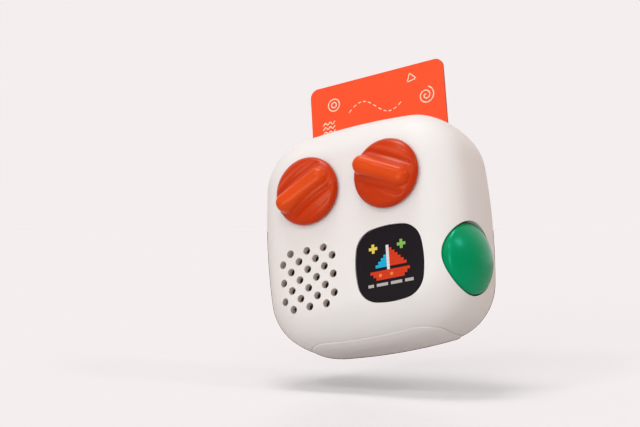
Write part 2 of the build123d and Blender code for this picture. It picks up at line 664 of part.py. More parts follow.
def base_pad():
    """Soft pad under the body, with a round rim. Its lowest face is flat and
    carries the player."""
    pad = (pillow(-PAD_PROUD) - pillow(PAD_RECESS)) & pad_plan(0)
    pad &= block((-FAR, FAR), (-FAR, FAR), (-HALF_HEIGHT, 0))
    walls = [face for face in pad.faces() if abs(face.normal_at().Z) < 0.01]
    rim = [
        edge for wall in walls for edge in wall.edges()
        if edge.geom_type != GeomType.LINE and edge.center().Z < wall.center().Z
    ]
    return fillet(rim, PAD_EDGE)


def card_slot(half_width, half_depth, low_z, high_z):
    """Upright slot or wall round the card."""
    return block(
        (-half_width, half_width), (CARD_Y - half_depth, CARD_Y + half_depth), (low_z, high_z)
    )


def slot_collar():
    """Saddle over the joint of the shells, with the slot for the card."""
    collar = collar_plan(0) & (OUTSIDE - MIDDLE)
    mouth = loft([
        Plane.XY.offset(HALF_HEIGHT - WALL / 2) * Pos(0, CARD_Y)
        * Rectangle(2 * SLOT_HALF_WIDTH, 2 * SLOT_HALF_DEPTH),
        Plane.XY.offset(HALF_HEIGHT) * Pos(0, CARD_Y)
        * Rectangle(2 * (SLOT_HALF_WIDTH + SLOT_LEAD_IN), 2 * (SLOT_HALF_DEPTH + SLOT_LEAD_IN)),
    ])
    return collar - card_slot(SLOT_HALF_WIDTH, SLOT_HALF_DEPTH, 0, FAR) - mouth


# ---------------------------------------------------------------- card

def story_card():
    """Card with round corners, standing in its sleeve."""
    outline = RectangleRounded(CARD_WIDTH, CARD_LENGTH, CARD_CORNER)
    middle_z = (CARD_TOP_Z + CARD_BOTTOM_Z) / 2
    return slab(Pos(0, middle_z) * outline, CARD_Y - CARD_THICK / 2, CARD_Y + CARD_THICK / 2)


def card_sleeve():
    """Flat pocket that guides the card, on pegs that stand on the main board."""
    bottom_z = SLEEVE_FLOOR_Z - SLEEVE_FLOOR
    sleeve = card_slot(SLEEVE_HALF_WIDTH, SLOT_HALF_DEPTH + SLEEVE_WALL, bottom_z, FAR)
    sleeve &= TONGUE_SIDE
    pegs = [rod(x, z, PEG_RADIUS, BOARD_REAR_Y, SLEEVE_FRONT_Y) for x, z in SLEEVE_SCREWS]
    sleeve += pegs
    sleeve -= card_slot(SLOT_HALF_WIDTH, SLOT_HALF_DEPTH, SLEEVE_FLOOR_Z, FAR)
    reach = SLEEVE_FRONT_Y + SLEEVE_WALL / 2
    radius = BOARD_SCREW[0] + CLOSE_FIT
    return sleeve - [rod(x, z, radius, 0, reach) for x, z in SLEEVE_SCREWS]


# ---------------------------------------------------------------- knobs

def knob_plane(side, y):
    """Plane across a knob's axis. Its X points where the knob points."""
    x, pointer = KNOBS[side]
    turn = radians(pointer)
    return Plane(origin=(x, y, KNOB_Z), x_dir=(cos(turn), 0, sin(turn)), z_dir=(0, -1, 0))


def shaft_outline(radius):
    """Round section with one flat."""
    flat = Pos(0, SHAFT_RADIUS - SHAFT_FLAT + radius - SHAFT_RADIUS + radius)
    return Circle(radius) - flat * Rectangle(4 * radius, 2 * radius)


def knob(side):
    """Disc with a finger grip that rises to its pointing end, between two scoops."""
    base = (Align.CENTER, Align.CENTER, Align.MIN)
    disc = Cylinder(KNOB_RADIUS, KNOB_DISC, align=base)
    disc = fillet(disc.edges().group_by(Axis.Z)[-1], KNOB_EDGE)
    disc = fillet(disc.edges().group_by(Axis.Z)[0], KNOB_FOOT_EDGE)
    scoop_z = KNOB_DISC - SCOOP_DEPTH + SCOOP_RADIUS
    for side_y in (-SCOOP_OFFSET, SCOOP_OFFSET):
        ends = [Pos(x, 0, 0) * Sphere(SCOOP_RADIUS) for x in (-SCOOP_RUN, SCOOP_RUN)]
        scoop = Rot(0, 90, 0) * Cylinder(SCOOP_RADIUS, 2 * SCOOP_RUN) + ends
        disc -= Pos(0, side_y, scoop_z) * scoop

    tail = KNOB_EDGE - KNOB_RADIUS
    side_view = Plane.XZ * make_face(
        Polyline((tail, 0), (GRIP_TIP, 0), (GRIP_TIP, GRIP_RISE), (tail, GRIP_FALL), close=True)
    )
    plan = Pos((tail + GRIP_TIP) / 2, 0) * SlotOverall(GRIP_TIP - tail, GRIP_WIDTH)
    grip = extrude(plan, GRIP_RISE) & extrude(side_view, GRIP_WIDTH, both=True)
    grip = fillet(grip.faces().sort_by(Axis.Z)[-1].edges(), GRIP_ROUND)

    bore = extrude(shaft_outline(SHAFT_RADIUS + CLOSE_FIT), SHAFT_REACH + MOVING_GAP)
    pocket = extrude(Circle(KNOB_RADIUS - KNOB_WALL) - Circle(KNOB_HUB_RADIUS), KNOB_POCKET)
    return knob_plane(side, KNOB_BASE_Y).location * (disc + grip - bore - pocket)


def encoder_shaft(side):
    """Shaft with a flat where the knob sits, and the rotor at its rear end."""
    x, _ = KNOBS[side]
    flat_start = knob_plane(side, KNOB_BASE_Y)
    shaft = rod(x, KNOB_Z, SHAFT_RADIUS, KNOB_BASE_Y, ROTOR_REAR_Y)
    shaft += extrude(flat_start * shaft_outline(SHAFT_RADIUS), SHAFT_REACH)
    return shaft + rod(x, KNOB_Z, ROTOR_RADIUS, ROTOR_FRONT_Y, ROTOR_REAR_Y)


def encoder_body(side):
    """Hollow housing with the bush that carries the shaft."""
    x, _ = KNOBS[side]
    body = slab(
        Pos(x, KNOB_Z) * RectangleRounded(ENCODER_WIDTH, ENCODER_HEIGHT, ENCODER_WALL),
        ENCODER_FRONT_Y,
        BOARD_FRONT_Y,
    )
    body += rod(x, KNOB_Z, BUSH_RADIUS, ENCODER_FRONT_Y - BUSH_LENGTH, ENCODER_FRONT_Y)
    body -= rod(x, KNOB_Z, SHAFT_RADIUS + RUNNING_FIT, -FAR, ENCODER_FLOOR_Y)
    cavity_front = ENCODER_FRONT_Y + ENCODER_WALL
    return body - rod(x, KNOB_Z, ROTOR_RADIUS + MOVING_GAP, cavity_front, ENCODER_FLOOR_Y)


def push_plate(side):
    """Plate that passes a push on the knob to the snap dome."""
    x, _ = KNOBS[side]
    return rod(x, KNOB_Z, ROTOR_RADIUS, PLATE_FRONT_Y, PLATE_REAR_Y)


def snap_dome(side):
    """Thin dished contact under the push plate."""
    x, _ = KNOBS[side]
    depth = ENCODER_FLOOR_Y - SNAP_FRONT_Y
    points = [
        (0, 0), (SNAP_TOP_RADIUS, 0), (ROTOR_RADIUS, depth),
        (ROTOR_RADIUS - SNAP_THICK, depth), (SNAP_TOP_RADIUS - SNAP_THICK, SNAP_THICK), (0, SNAP_THICK),
    ]
    return turned(points, x, KNOB_Z, SNAP_FRONT_Y)


# ---------------------------------------------------------------- loudspeaker

def speaker_mesh():
    """Disc of dust mesh behind the grille holes."""
    return rod(SPEAKER_X, SPEAKER_Z, MESH_RADIUS, MESH_Y, MESH_Y + MESH_THICK)


def speaker_gasket():
    """Foam ring between the seat and the flange."""
    return ring(SPEAKER_X, SPEAKER_Z, SPEAKER_RADIUS, MESH_RADIUS, SEAT_END_Y, FLANGE_FRONT_Y)


def speaker_basket():
    """Pressed frame: flange, sloping wall and rear plate."""
    lip = MESH_RADIUS
    points = [
        (SPEAKER_RADIUS, 0), (SPEAKER_RADIUS, FLANGE_THICK), (lip, FLANGE_THICK),
        (BASKET_REAR_RADIUS, BASKET_DEPTH), (COIL_GAP_RADIUS, BASKET_DEPTH),
        (COIL_GAP_RADIUS, BASKET_DEPTH - BASKET_WALL),
        (BASKET_REAR_RADIUS - BASKET_WALL, BASKET_DEPTH - BASKET_WALL), (lip - BASKET_WALL, 0),
    ]
    return turned(points, SPEAKER_X, SPEAKER_Z, FLANGE_FRONT_Y)


def cone_radius():
    """Outer edge of the paper cone, inside the rolled surround."""
    return MESH_RADIUS - 2 * ROLL_RADIUS


def speaker_surround():
    """Half-round rubber roll between the flange and the cone."""
    middle = MESH_RADIUS - ROLL_RADIUS
    roll = Circle(ROLL_RADIUS) - Circle(ROLL_RADIUS - CONE_THICK)
    roll &= Pos(0, -ROLL_RADIUS) * Rectangle(4 * ROLL_RADIUS, 2 * ROLL_RADIUS)
    plane = Plane(origin=(SPEAKER_X, FLANGE_FRONT_Y, SPEAKER_Z), x_dir=(1, 0, 0), z_dir=(0, 0, 1))
    axis = Axis((SPEAKER_X, FLANGE_FRONT_Y, SPEAKER_Z), (0, 1, 0))
    return revolve(plane * (Pos(middle, 0) * roll), axis, 360)


def speaker_cone():
    """Paper cone with its dust cap."""
    edge = cone_radius()
    cap_top = CONE_DEPTH - VOICE_COIL_RADIUS / 2
    points = [
        (edge, 0), (edge, CONE_THICK), (VOICE_COIL_RADIUS, CONE_DEPTH + CONE_THICK),
        (0, cap_top + CONE_THICK), (0, cap_top), (VOICE_COIL_RADIUS, CONE_DEPTH),
    ]
    return turned(points, SPEAKER_X, SPEAKER_Z, FLANGE_FRONT_Y)


def voice_coil():
    """Coil on its former, between the cone and the magnet gap."""
    front_y = FLANGE_FRONT_Y + CONE_DEPTH + CONE_THICK
    inner = VOICE_COIL_RADIUS - CONE_THICK
    return ring(SPEAKER_X, SPEAKER_Z, VOICE_COIL_RADIUS, inner, front_y, front_y + VOICE_COIL_LENGTH)


def speaker_magnet():
    """Ring magnet on the rear plate of the basket."""
    return ring(
        SPEAKER_X, SPEAKER_Z, MAGNET_RADIUS, COIL_GAP_RADIUS, BASKET_REAR_Y, YOKE_FRONT_Y
    )


def speaker_yoke():
    """Rear disc with the pole inside the voice coil."""
    rear_y = YOKE_FRONT_Y + YOKE_THICK
    pole = rod(SPEAKER_X, SPEAKER_Z, POLE_RADIUS, BASKET_REAR_Y - BASKET_WALL, rear_y)
    return pole + rod(SPEAKER_X, SPEAKER_Z, MAGNET_RADIUS, YOKE_FRONT_Y, rear_y)


def terminals_box(grow):
    """Solder tags on the rear of the flange, towards the display."""
    x = SPEAKER_X + (SPEAKER_RADIUS + MESH_RADIUS) / 2
    half_width = SPEAKER_LIP / 2 + grow
    half_height = TAG_HALF_HEIGHT + grow
    return block(
        (x - half_width, x + half_width),
        (CLAMP_FRONT_Y, CLAMP_FRONT_Y + TAG_LENGTH),
        (SPEAKER_Z - half_height, SPEAKER_Z + half_height),
    )


def speaker_clamp():
    """Ring with two ears that screws the speaker down, open at the solder tags."""
    clamp = rod(SPEAKER_X, SPEAKER_Z, SEAT_RADIUS, CLAMP_FRONT_Y, CLAMP_REAR_Y)
    clamp += [rod(x, z, POST_RADIUS, CLAMP_FRONT_Y, CLAMP_REAR_Y) for x, z in SPEAKER_SCREWS]
    clamp -= rod(SPEAKER_X, SPEAKER_Z, MESH_RADIUS + MOVING_GAP, CLAMP_FRONT_Y, CLAMP_REAR_Y)
    gap = terminals_box(2 * MOVING_GAP)
    clamp -= [gap, Pos(SPEAKER_LIP, 0, 0) * gap]
    radius = BOARD_SCREW[0] + FIT
    return clamp - [rod(x, z, radius, CLAMP_FRONT_Y, CLAMP_REAR_Y) for x, z in SPEAKER_SCREWS]


# ---------------------------------------------------------------- display

def square(half, front_y, rear_y):
    """Square slab behind the display window."""
    return slab(Pos(SCREEN_X, SCREEN_Z) * Rectangle(2 * half, 2 * half), front_y, rear_y)


def display_window():
    """Dark clear window, a little below the face of the body."""
    window = slab(window_outline(-FIT), WINDOW_FRONT_Y, TAPE_FRONT_Y)
    return chamfer(window.edges().group_by(Axis.Y)[0], WINDOW_THICK / 4)


def window_tape():
    """Adhesive frame that holds the window on its ledge."""
    tape = slab(window_outline(-FIT), TAPE_FRONT_Y, WINDOW_SEAT_Y)
    return tape - slab(window_outline(-WINDOW_LEDGE), TAPE_FRONT_Y, WINDOW_SEAT_Y)


def pixel_grid():
    """Lattice that keeps the light of each pixel apart."""
    cell = PIXEL_PITCH - PIXEL_RIB
    cells = GridLocations(PIXEL_PITCH, PIXEL_PITCH, PIXELS, PIXELS) * Rectangle(cell, cell)
    lattice = Rectangle(2 * MATRIX_HALF, 2 * MATRIX_HALF) - cells
    return slab(Pos(SCREEN_X, SCREEN_Z) * lattice, GRID_FRONT_Y, MATRIX_FRONT_Y)


def display_holder():
    """Box frame round the diffuser, the lattice and the lamps, with two ears."""
    holder = square(HOLDER_HALF, DIFFUSER_FRONT_Y, HOLDER_REAR_Y) & pillow(WALL + MOVING_GAP)
    ears = Pos(SCREEN_X, SCREEN_Z) * SlotCenterToCenter(2 * DISPLAY_POST_REACH, 2 * POST_RADIUS, rotation=90)
    holder += slab(ears, HOLDER_LEDGE_Y, HOLDER_REAR_Y)
    holder -= square(MATRIX_HALF + FIT, DIFFUSER_FRONT_Y, HOLDER_LEDGE_Y)
    holder -= square(MATRIX_HALF - HOLDER_WALL, HOLDER_LEDGE_Y, HOLDER_REAR_Y)
    radius = BOARD_SCREW[0] + FIT
    return holder - [rod(x, z, radius, HOLDER_LEDGE_Y, HOLDER_REAR_Y) for x, z in DISPLAY_SCREWS]


def display_header():
    """Pin strip between the lamp board and the main board."""
    z = SCREEN_Z - HEADER_DROP
    return block(
        (SCREEN_X - HEADER_HALF_LENGTH, SCREEN_X + HEADER_HALF_LENGTH),
        (HOLDER_LEDGE_Y, BOARD_FRONT_Y),
        (z - HEADER_HALF_WIDTH, z + HEADER_HALF_WIDTH),
    )


# ---------------------------------------------------------------- play button

def dome_outline(inset):
    """Half of the domed cap, shrunk by an inset: a wide crown arc, a tighter
    shoulder arc and a straight skirt."""
    foot, crown_z = -BUTTON_SINK, DOME_HEIGHT - BUTTON_SINK - CROWN_RADIUS
    drop = CROWN_RADIUS - DOME_HEIGHT
    shoulder = CROWN_RADIUS ** 2 - drop ** 2 - BUTTON_RADIUS ** 2
    shoulder /= 2 * (CROWN_RADIUS - BUTTON_RADIUS)
    middle = BUTTON_RADIUS - shoulder
    turn = degrees(atan2(drop, middle))
    top, side = foot + DOME_HEIGHT - inset, BUTTON_RADIUS - inset
    return Curve() + [
        CenterArc((middle, foot), shoulder - inset, 0, turn),
        CenterArc((0, crown_z), CROWN_RADIUS - inset, turn, 90 - turn),
        Polyline((0, top), (0, BUTTON_FOOT), (side, BUTTON_FOOT), (side, foot)),
    ]


def play_button():
    """Hollow domed cap with a stem for the switch and two retaining lugs."""
    foot = -BUTTON_SINK
    cap = button_turned(dome_outline(0)) - button_turned(dome_outline(DOME_WALL))
    stem = button_rod(STEM_RADIUS, STEM_END, foot + DOME_HEIGHT - DOME_WALL / 2)
    lugs = button_box(BUTTON_RADIUS + LUG_REACH, LUG_HALF_WIDTH, BUTTON_FOOT, BUTTON_FOOT + LUG_THICK)
    lugs &= button_rod(BUTTON_RADIUS + LUG_REACH, BUTTON_FOOT, foot)
    lugs -= button_rod(BUTTON_RADIUS - DOME_WALL / 2, BUTTON_FOOT, foot)
    return cap + stem + lugs


def switch_board():
    """Small upright board behind the button, beside the edge of the main board."""
    low = SWITCH_BOARD_TOP - SMALL_BOARD_THICK
    board = button_box(SWITCH_BOARD_HALF_HEIGHT, SWITCH_BOARD_HALF_DEPTH, low, SWITCH_BOARD_TOP)
    return board & between(-FAR, SLEEVE_FRONT_Y - MOVING_GAP)


def switch_header():
    """Angled pin strip between the switch board and the main board."""
    top = SWITCH_BOARD_TOP - SMALL_BOARD_THICK
    strip = button_box(HEADER_HALF_LENGTH / 2, FAR, top - SWITCH_HEADER_LENGTH, top)
    return strip & between(BOARD_FRONT_Y - 2 * HEADER_HALF_WIDTH, BOARD_FRONT_Y)


def play_switch():
    """Push switch with its plunger on the button's axis."""
    body = button_box(
        SWITCH_WIDTH / 2, SWITCH_WIDTH / 2, SWITCH_BOARD_TOP, SWITCH_BOARD_TOP + SWITCH_HEIGHT
    )
    return body + button_rod(SWITCH_WIDTH / 4, SWITCH_BOARD_TOP, PLUNGER_TOP)


def button_dome():
    """Silicone dome over the switch, which pushes the button back."""
    low, top = SWITCH_BOARD_TOP, SILICONE_TOP
    shoulder = low + SILICONE_THICK
    points = [
        (SILICONE_RADIUS, low), (SILICONE_RADIUS, shoulder),
        (SILICONE_RADIUS - SILICONE_THICK, shoulder), (SILICONE_TOP_RADIUS, top), (0, top),
        (0, top - SILICONE_THICK), (SILICONE_TOP_RADIUS - SILICONE_THICK, top - SILICONE_THICK),
        (SILICONE_RADIUS - 2 * SILICONE_THICK, low),
    ]
    return button_turned(Polyline(*points, close=True))


# ---------------------------------------------------------------- electronics

def main_board():
    """Board across the middle, cut away for the speaker and the corner below it,
    for the bosses and for the button."""
    outline = RectangleRounded(2 * BOARD_HALF_WIDTH, 2 * BOARD_HALF_HEIGHT, BOARD_CORNER)
    board = slab(outline, BOARD_FRONT_Y, BOARD_REAR_Y)
    clear = SEAT_RADIUS + 2 * MOVING_GAP
    cuts = [
        rod(SPEAKER_X, SPEAKER_Z, clear, -FAR, FAR),
        block((-FAR, SPEAKER_X), (-FAR, FAR), (-FAR, SPEAKER_Z + clear / 2)),
        block((-FAR, SPEAKER_X + clear), (-FAR, FAR), (-FAR, SPEAKER_Z)),
    ]
    cuts += [rod(x, z, BOSS_RADIUS + MOVING_GAP, -FAR, FAR) for x, z in CASE_SCREWS]
    cuts += [rod(x, z, BOARD_SCREW[0] + FIT, -FAR, FAR) for x, z in BOARD_SCREWS + SLEEVE_SCREWS]
    cuts.append(button_box(
        SWITCH_BOARD_HALF_HEIGHT + MOVING_GAP, FAR, SWITCH_BOARD_TOP - SMALL_BOARD_THICK - MOVING_GAP, FAR
    ))
    cuts.append(button_box(
        GUIDE_RADIUS + GUIDE_WALL + MOVING_GAP, FAR, BUTTON_FOOT - BUTTON_PRESS - MOVING_GAP, FAR
    ))
    return board - cuts


def board_block(x, z, half_width, half_height, front_y, rear_y):
    """Block on one face of the main board."""
    return block((x - half_width, x + half_width), (front_y, rear_y), (z - half_height, z + half_height))


def chips():
    """Processor, memory, amplifier and power parts on the front of the board."""
    return Compound([
        board_block(
            across * BOARD_HALF_WIDTH, up * BOARD_HALF_HEIGHT, width / 2, height / 2,
            BOARD_FRONT_Y - thick, BOARD_FRONT_Y
        )
        for across, up, width, height, thick in CHIPS
    ])


def nfc_board():
    """Reader board on the back of the sleeve."""
    return block(
        (-NFC_HALF_WIDTH, NFC_HALF_WIDTH), (SLEEVE_REAR_Y, NFC_REAR_Y), (NFC_BOTTOM_Z, NFC_TOP_Z)
    )


def nfc_coil():
    """Copper turns of the reader's aerial."""
    height = NFC_HEIGHT / 2
    turns = []
    for turn in range(COIL_TURNS):
        inset = COIL_TRACK * (1 + 2 * turn)
        outer = Rectangle(2 * (NFC_HALF_WIDTH - inset), 2 * (height - inset))
        inner = offset(outer, -COIL_TRACK)
        turns.append(outer - inner)
    middle = Pos(0, (NFC_TOP_Z + NFC_BOTTOM_Z) / 2)
    return Compound([slab(middle * turn, NFC_REAR_Y, NFC_REAR_Y + COIL_THICK) for turn in turns])


def battery_cell():
    """Flat pouch cell behind the reader."""
    outline = RectangleRounded(BATTERY_WIDTH, BATTERY_HEIGHT, TRAY_WALL)
    cell = slab(Pos(0, BATTERY_Z) * outline, BATTERY_FRONT_Y, BATTERY_FRONT_Y + BATTERY_THICK)
    return fillet(cell.edges().group_by(Axis.Y)[0], TRAY_WALL / 2)


def battery_foam():
    """Foam between the cell and the back cover."""
    outline = Rectangle(BATTERY_WIDTH - 2 * TRAY_WALL, BATTERY_HEIGHT - 2 * TRAY_WALL)
    foam = slab(Pos(0, BATTERY_Z) * outline, BATTERY_FRONT_Y + BATTERY_THICK, REAR_INSIDE_Y)
    return foam & INSIDE


def battery_tray():
    """Frame round the cell on the back cover, with a lip in front of it."""
    width, height = BATTERY_WIDTH + 2 * FIT, BATTERY_HEIGHT + 2 * FIT
    outer = Rectangle(width + 2 * TRAY_WALL, height + 2 * TRAY_WALL)
    lip_y = BATTERY_FRONT_Y - TRAY_LIP
    tray = slab(Pos(0, BATTERY_Z) * (outer - Rectangle(width, height)), lip_y, REAR_INSIDE_Y)
    opening = Rectangle(width - 2 * TRAY_WALL, height - 2 * TRAY_WALL)
    tray += slab(Pos(0, BATTERY_Z) * (outer - opening), lip_y, BATTERY_FRONT_Y)
    exit_z = BATTERY_Z - height / 2
    tray -= block(
        (BATTERY_LEAD_X - 2 * LEAD_RADIUS, BATTERY_LEAD_X + 2 * LEAD_RADIUS),
        (BATTERY_FRONT_Y, REAR_INSIDE_Y), (exit_z - 2 * TRAY_WALL, exit_z)
    )
    return tray & INSIDE


# ---------------------------------------------------------------- sockets

def port_board():
    """Level board low at the back, on two posts."""
    length = (-PORT_BOARD_HALF_LENGTH, PORT_BOARD_HALF_LENGTH)
    board = block(
        length, (PORT_BOARD_FRONT_Y, PORT_BOARD_REAR_Y), (PORT_BOARD_BOTTOM_Z, PORT_BOARD_TOP_Z)
    )
    holes = [Pos(x, PORT_POST_Y) * Circle(BOARD_SCREW[0] + FIT) for x in (-PORT_POST_X, PORT_POST_X)]
    return board - [tall(hole, PORT_BOARD_BOTTOM_Z, PORT_BOARD_TOP_Z) for hole in holes]


def usb_port():
    """Charging socket: oval shell with its tongue."""
    front_y = SOCKET_MOUTH_Y - USB_LENGTH
    inner = SlotOverall(USB_WIDTH - 2 * USB_SHELL, USB_HEIGHT - 2 * USB_SHELL)
    outer = SlotOverall(USB_WIDTH, USB_HEIGHT)
    place = Pos(USB_X, USB_Z)
    port = slab(place * outer, front_y, SOCKET_MOUTH_Y)
    port -= slab(place * inner, front_y + USB_HEIGHT / 2, SOCKET_MOUTH_Y)
    tongue = Rectangle(USB_TONGUE_WIDTH, USB_TONGUE)
    return port + slab(place * tongue, front_y, SOCKET_MOUTH_Y - USB_TONGUE)


def audio_jack():
    """Headphone socket with a round collar in the back cover."""
    front_y = SOCKET_MOUTH_Y - JACK_LENGTH
    jack = board_block(JACK_X, JACK_Z, JACK_BODY / 2, JACK_BODY / 2, front_y, SOCKET_MOUTH_Y)
    jack += rod(JACK_X, JACK_Z, JACK_COLLAR_RADIUS, SOCKET_MOUTH_Y, JACK_COLLAR_Y)
    return jack - rod(JACK_X, JACK_Z, JACK_BORE_RADIUS, front_y + WALL / 2, JACK_COLLAR_Y)


def short_screws():
    """The short screws of the speaker clamp, the display holder and the port board."""
    one = screw(SHORT_SCREW_LENGTH, BOARD_SCREW)
    places = [Pos(x, CLAMP_REAR_Y, z) * Rot(-90, 0, 0) for x, z in SPEAKER_SCREWS]
    places += [Pos(x, HOLDER_REAR_Y, z) * Rot(-90, 0, 0) for x, z in DISPLAY_SCREWS]
    places += [Pos(x, PORT_POST_Y, PORT_BOARD_TOP_Z) for x in (-PORT_POST_X, PORT_POST_X)]
    return Compound([place * one for place in places])


# ---------------------------------------------------------------- leads

PLUG_REAR_Y = BOARD_REAR_Y + PLUG_HEIGHT
PLUG_FRONT_Y = BOARD_FRONT_Y - PLUG_HEIGHT
TAGS_X = SPEAKER_X + (SPEAKER_RADIUS + MESH_RADIUS) / 2
TAGS_Y = CLAMP_FRONT_Y + TAG_LENGTH
BATTERY_BOTTOM_Z = BATTERY_Z - BATTERY_HEIGHT / 2
LOW_PLUG_Z = LOW_PLUG_RISE - HALF_HEIGHT
BATTERY_BENDS_Z = [BATTERY_BOTTOM_Z + share * (LOW_PLUG_Z - BATTERY_BOTTOM_Z) for share in LEAD_BENDS]
READER_BENDS_Z = [NFC_BOTTOM_Z + share * (LOW_PLUG_Z - NFC_BOTTOM_Z) for share in LEAD_BENDS]
SPEAKER_LEAD = [
    (TAGS_X, TAGS_Y, SPEAKER_Z + 0.6),
    (TAGS_X, TAGS_Y + 4.0, SPEAKER_Z + 0.6),
    (TAGS_X + 2.3, TAGS_Y + 7.0, SPEAKER_Z + 5.6),
    (SPEAKER_PLUG[0], PLUG_FRONT_Y + 1.6, SPEAKER_PLUG[1] - 7.2),
    (SPEAKER_PLUG[0], PLUG_FRONT_Y + 1.6, SPEAKER_PLUG[1] - PLUG_HALF_HEIGHT),
]
BATTERY_LEAD = [
    (BATTERY_LEAD_X, BATTERY_FRONT_Y + 2.8, BATTERY_BOTTOM_Z),
    (BATTERY_LEAD_X, BATTERY_FRONT_Y + 2.8, BATTERY_BENDS_Z[0]),
    (BATTERY_LEAD_X + 0.2, BATTERY_FRONT_Y + 0.6, BATTERY_BENDS_Z[1]),
    (BATTERY_PLUG_X, PLUG_REAR_Y + 3.2, LOW_PLUG_Z),
    (BATTERY_PLUG_X, PLUG_REAR_Y, LOW_PLUG_Z),
]
READER_LEAD = [
    (READER_PLUG_X + 0.5, SLEEVE_REAR_Y + 0.8, NFC_BOTTOM_Z),
    (READER_PLUG_X + 0.5, SLEEVE_REAR_Y + 0.8, READER_BENDS_Z[0]),
    (READER_PLUG_X + 0.1, SLEEVE_REAR_Y + 1.4, READER_BENDS_Z[1]),
    (READER_PLUG_X, PLUG_REAR_Y + 2.4, LOW_PLUG_Z),
    (READER_PLUG_X, PLUG_REAR_Y, LOW_PLUG_Z),
]


# ---------------------------------------------------------------- write the pieces

def plug(x, z, front_y, rear_y):
    """Socket and plug of one lead on the main board."""
    return board_block(x, z, PLUG_HALF_WIDTH, PLUG_HALF_HEIGHT, front_y, rear_y)


NODES = {
    "front_shell": front_shell(),
    "rear_shell": rear_shell(),
    "base_pad": base_pad(),
    "slot_collar": slot_collar(),
    "story_card": story_card(),
    "card_sleeve": card_sleeve(),
    "speaker_mesh": speaker_mesh(),
    "speaker_gasket": speaker_gasket(),
    "speaker_basket": speaker_basket(),
    "speaker_surround": speaker_surround(),
    "speaker_cone": speaker_cone(),
    "voice_coil": voice_coil(),
    "speaker_magnet": speaker_magnet(),
    "speaker_yoke": speaker_yoke(),
    "speaker_terminals": terminals_box(0),
    "speaker_clamp": speaker_clamp(),
    "display_window": display_window(),
    "window_tape": window_tape(),
    "display_diffuser": square(MATRIX_HALF, DIFFUSER_FRONT_Y, GRID_FRONT_Y),
    "pixel_grid": pixel_grid(),
    "lamp_board": square(MATRIX_HALF, MATRIX_FRONT_Y, HOLDER_LEDGE_Y),
    "display_holder": display_holder(),
    "display_header": display_header(),
    "play_button": play_button(),
    "button_dome": button_dome(),
    "play_switch": play_switch(),
    "switch_board": switch_board(),
    "switch_header": switch_header(),
    "main_board": main_board(),
    "board_chips": chips(),
    "radio_module": board_block(
        0, HALF_HEIGHT - RADIO_DROP, RADIO_HALF_WIDTH, RADIO_HALF_HEIGHT,
        BOARD_FRONT_Y - RADIO_THICK, BOARD_FRONT_Y
    ),
    "nfc_board": nfc_board(),
    "nfc_coil": nfc_coil(),
    "battery_cell": battery_cell(),
    "battery_foam": battery_foam(),
    "battery_tray": battery_tray(),
    "port_board": port_board(),
    "port_header": block(
        PORT_HEADER_X, (BOARD_REAR_Y, PORT_BOARD_FRONT_Y + PLUG_HALF_WIDTH),
        (PORT_BOARD_TOP_Z, PORT_BOARD_TOP_Z + PLUG_HALF_HEIGHT)
    ),
    "usb_port": usb_port(),
    "audio_jack": audio_jack(),
    "speaker_plug": plug(*SPEAKER_PLUG, PLUG_FRONT_Y, BOARD_FRONT_Y),
    "battery_plug": plug(BATTERY_PLUG_X, LOW_PLUG_Z, BOARD_REAR_Y, PLUG_REAR_Y),
    "reader_plug": plug(READER_PLUG_X, LOW_PLUG_Z, BOARD_REAR_Y, PLUG_REAR_Y),
    "speaker_lead": lead(SPEAKER_LEAD),
    "battery_lead": lead(BATTERY_LEAD),
    "reader_lead": lead(READER_LEAD),
    "case_screws": screws(CASE_SCREWS, SCREW_SEAT_Y, CASE_SCREW_LENGTH, CASE_SCREW),
    "board_screws": screws(BOARD_SCREWS, BOARD_REAR_Y, BOARD_SCREW_LENGTH, BOARD_SCREW),
    "sleeve_screws": screws(SLEEVE_SCREWS, BOARD_FRONT_Y, SLEEVE_SCREW_LENGTH, BOARD_SCREW, 90),
    "short_screws": short_screws(),
}
for side in KNOBS:
    NODES[side + "_knob"] = knob(side)
    NODES[side + "_shaft"] = encoder_shaft(side)
    NODES[side + "_encoder_body"] = encoder_body(side)
    NODES[side + "_push_plate"] = push_plate(side)
    NODES[side + "_snap_dome"] = snap_dome(side)

os.makedirs("parts", exist_ok=True)
for name, shape in NODES.items():
    export_step(Pos(0, 0, HALF_HEIGHT) * shape, f"parts/{name}.step")
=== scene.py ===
"""Finishes, print and light of the audio story player, over its fixed frame.

Sizes are in millimetres in the row frame and go into the meshes in metres. The
player stands on z = 0 with its knobs, grille and display towards -Y. Colours are
linear.
"""
import json

import bmesh
import bpy
import numpy as np
from mathutils import Matrix, Vector


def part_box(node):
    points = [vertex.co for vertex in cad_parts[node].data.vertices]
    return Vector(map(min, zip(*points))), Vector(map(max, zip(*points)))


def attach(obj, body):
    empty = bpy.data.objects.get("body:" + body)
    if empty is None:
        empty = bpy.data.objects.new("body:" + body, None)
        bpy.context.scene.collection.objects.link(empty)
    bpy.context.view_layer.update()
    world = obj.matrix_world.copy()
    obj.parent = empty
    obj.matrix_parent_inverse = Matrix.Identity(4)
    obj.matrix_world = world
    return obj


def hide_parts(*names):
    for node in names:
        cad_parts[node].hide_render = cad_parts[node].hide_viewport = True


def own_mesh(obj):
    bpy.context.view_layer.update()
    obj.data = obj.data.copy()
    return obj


MM = 0.001
MERGE_DISTANCE = 1e-7        # metres

# Camera: its place, the directions of its right and its back, and its lens
CAMERA_PLACE = (247.18, -485.83, -118.01)
CAMERA_RIGHT = (0.8648, 0.4994, -0.0532)
CAMERA_BACK = (0.4643, -0.8354, -0.2941)
LENS = 91.94
SENSOR_WIDTH = 36.0

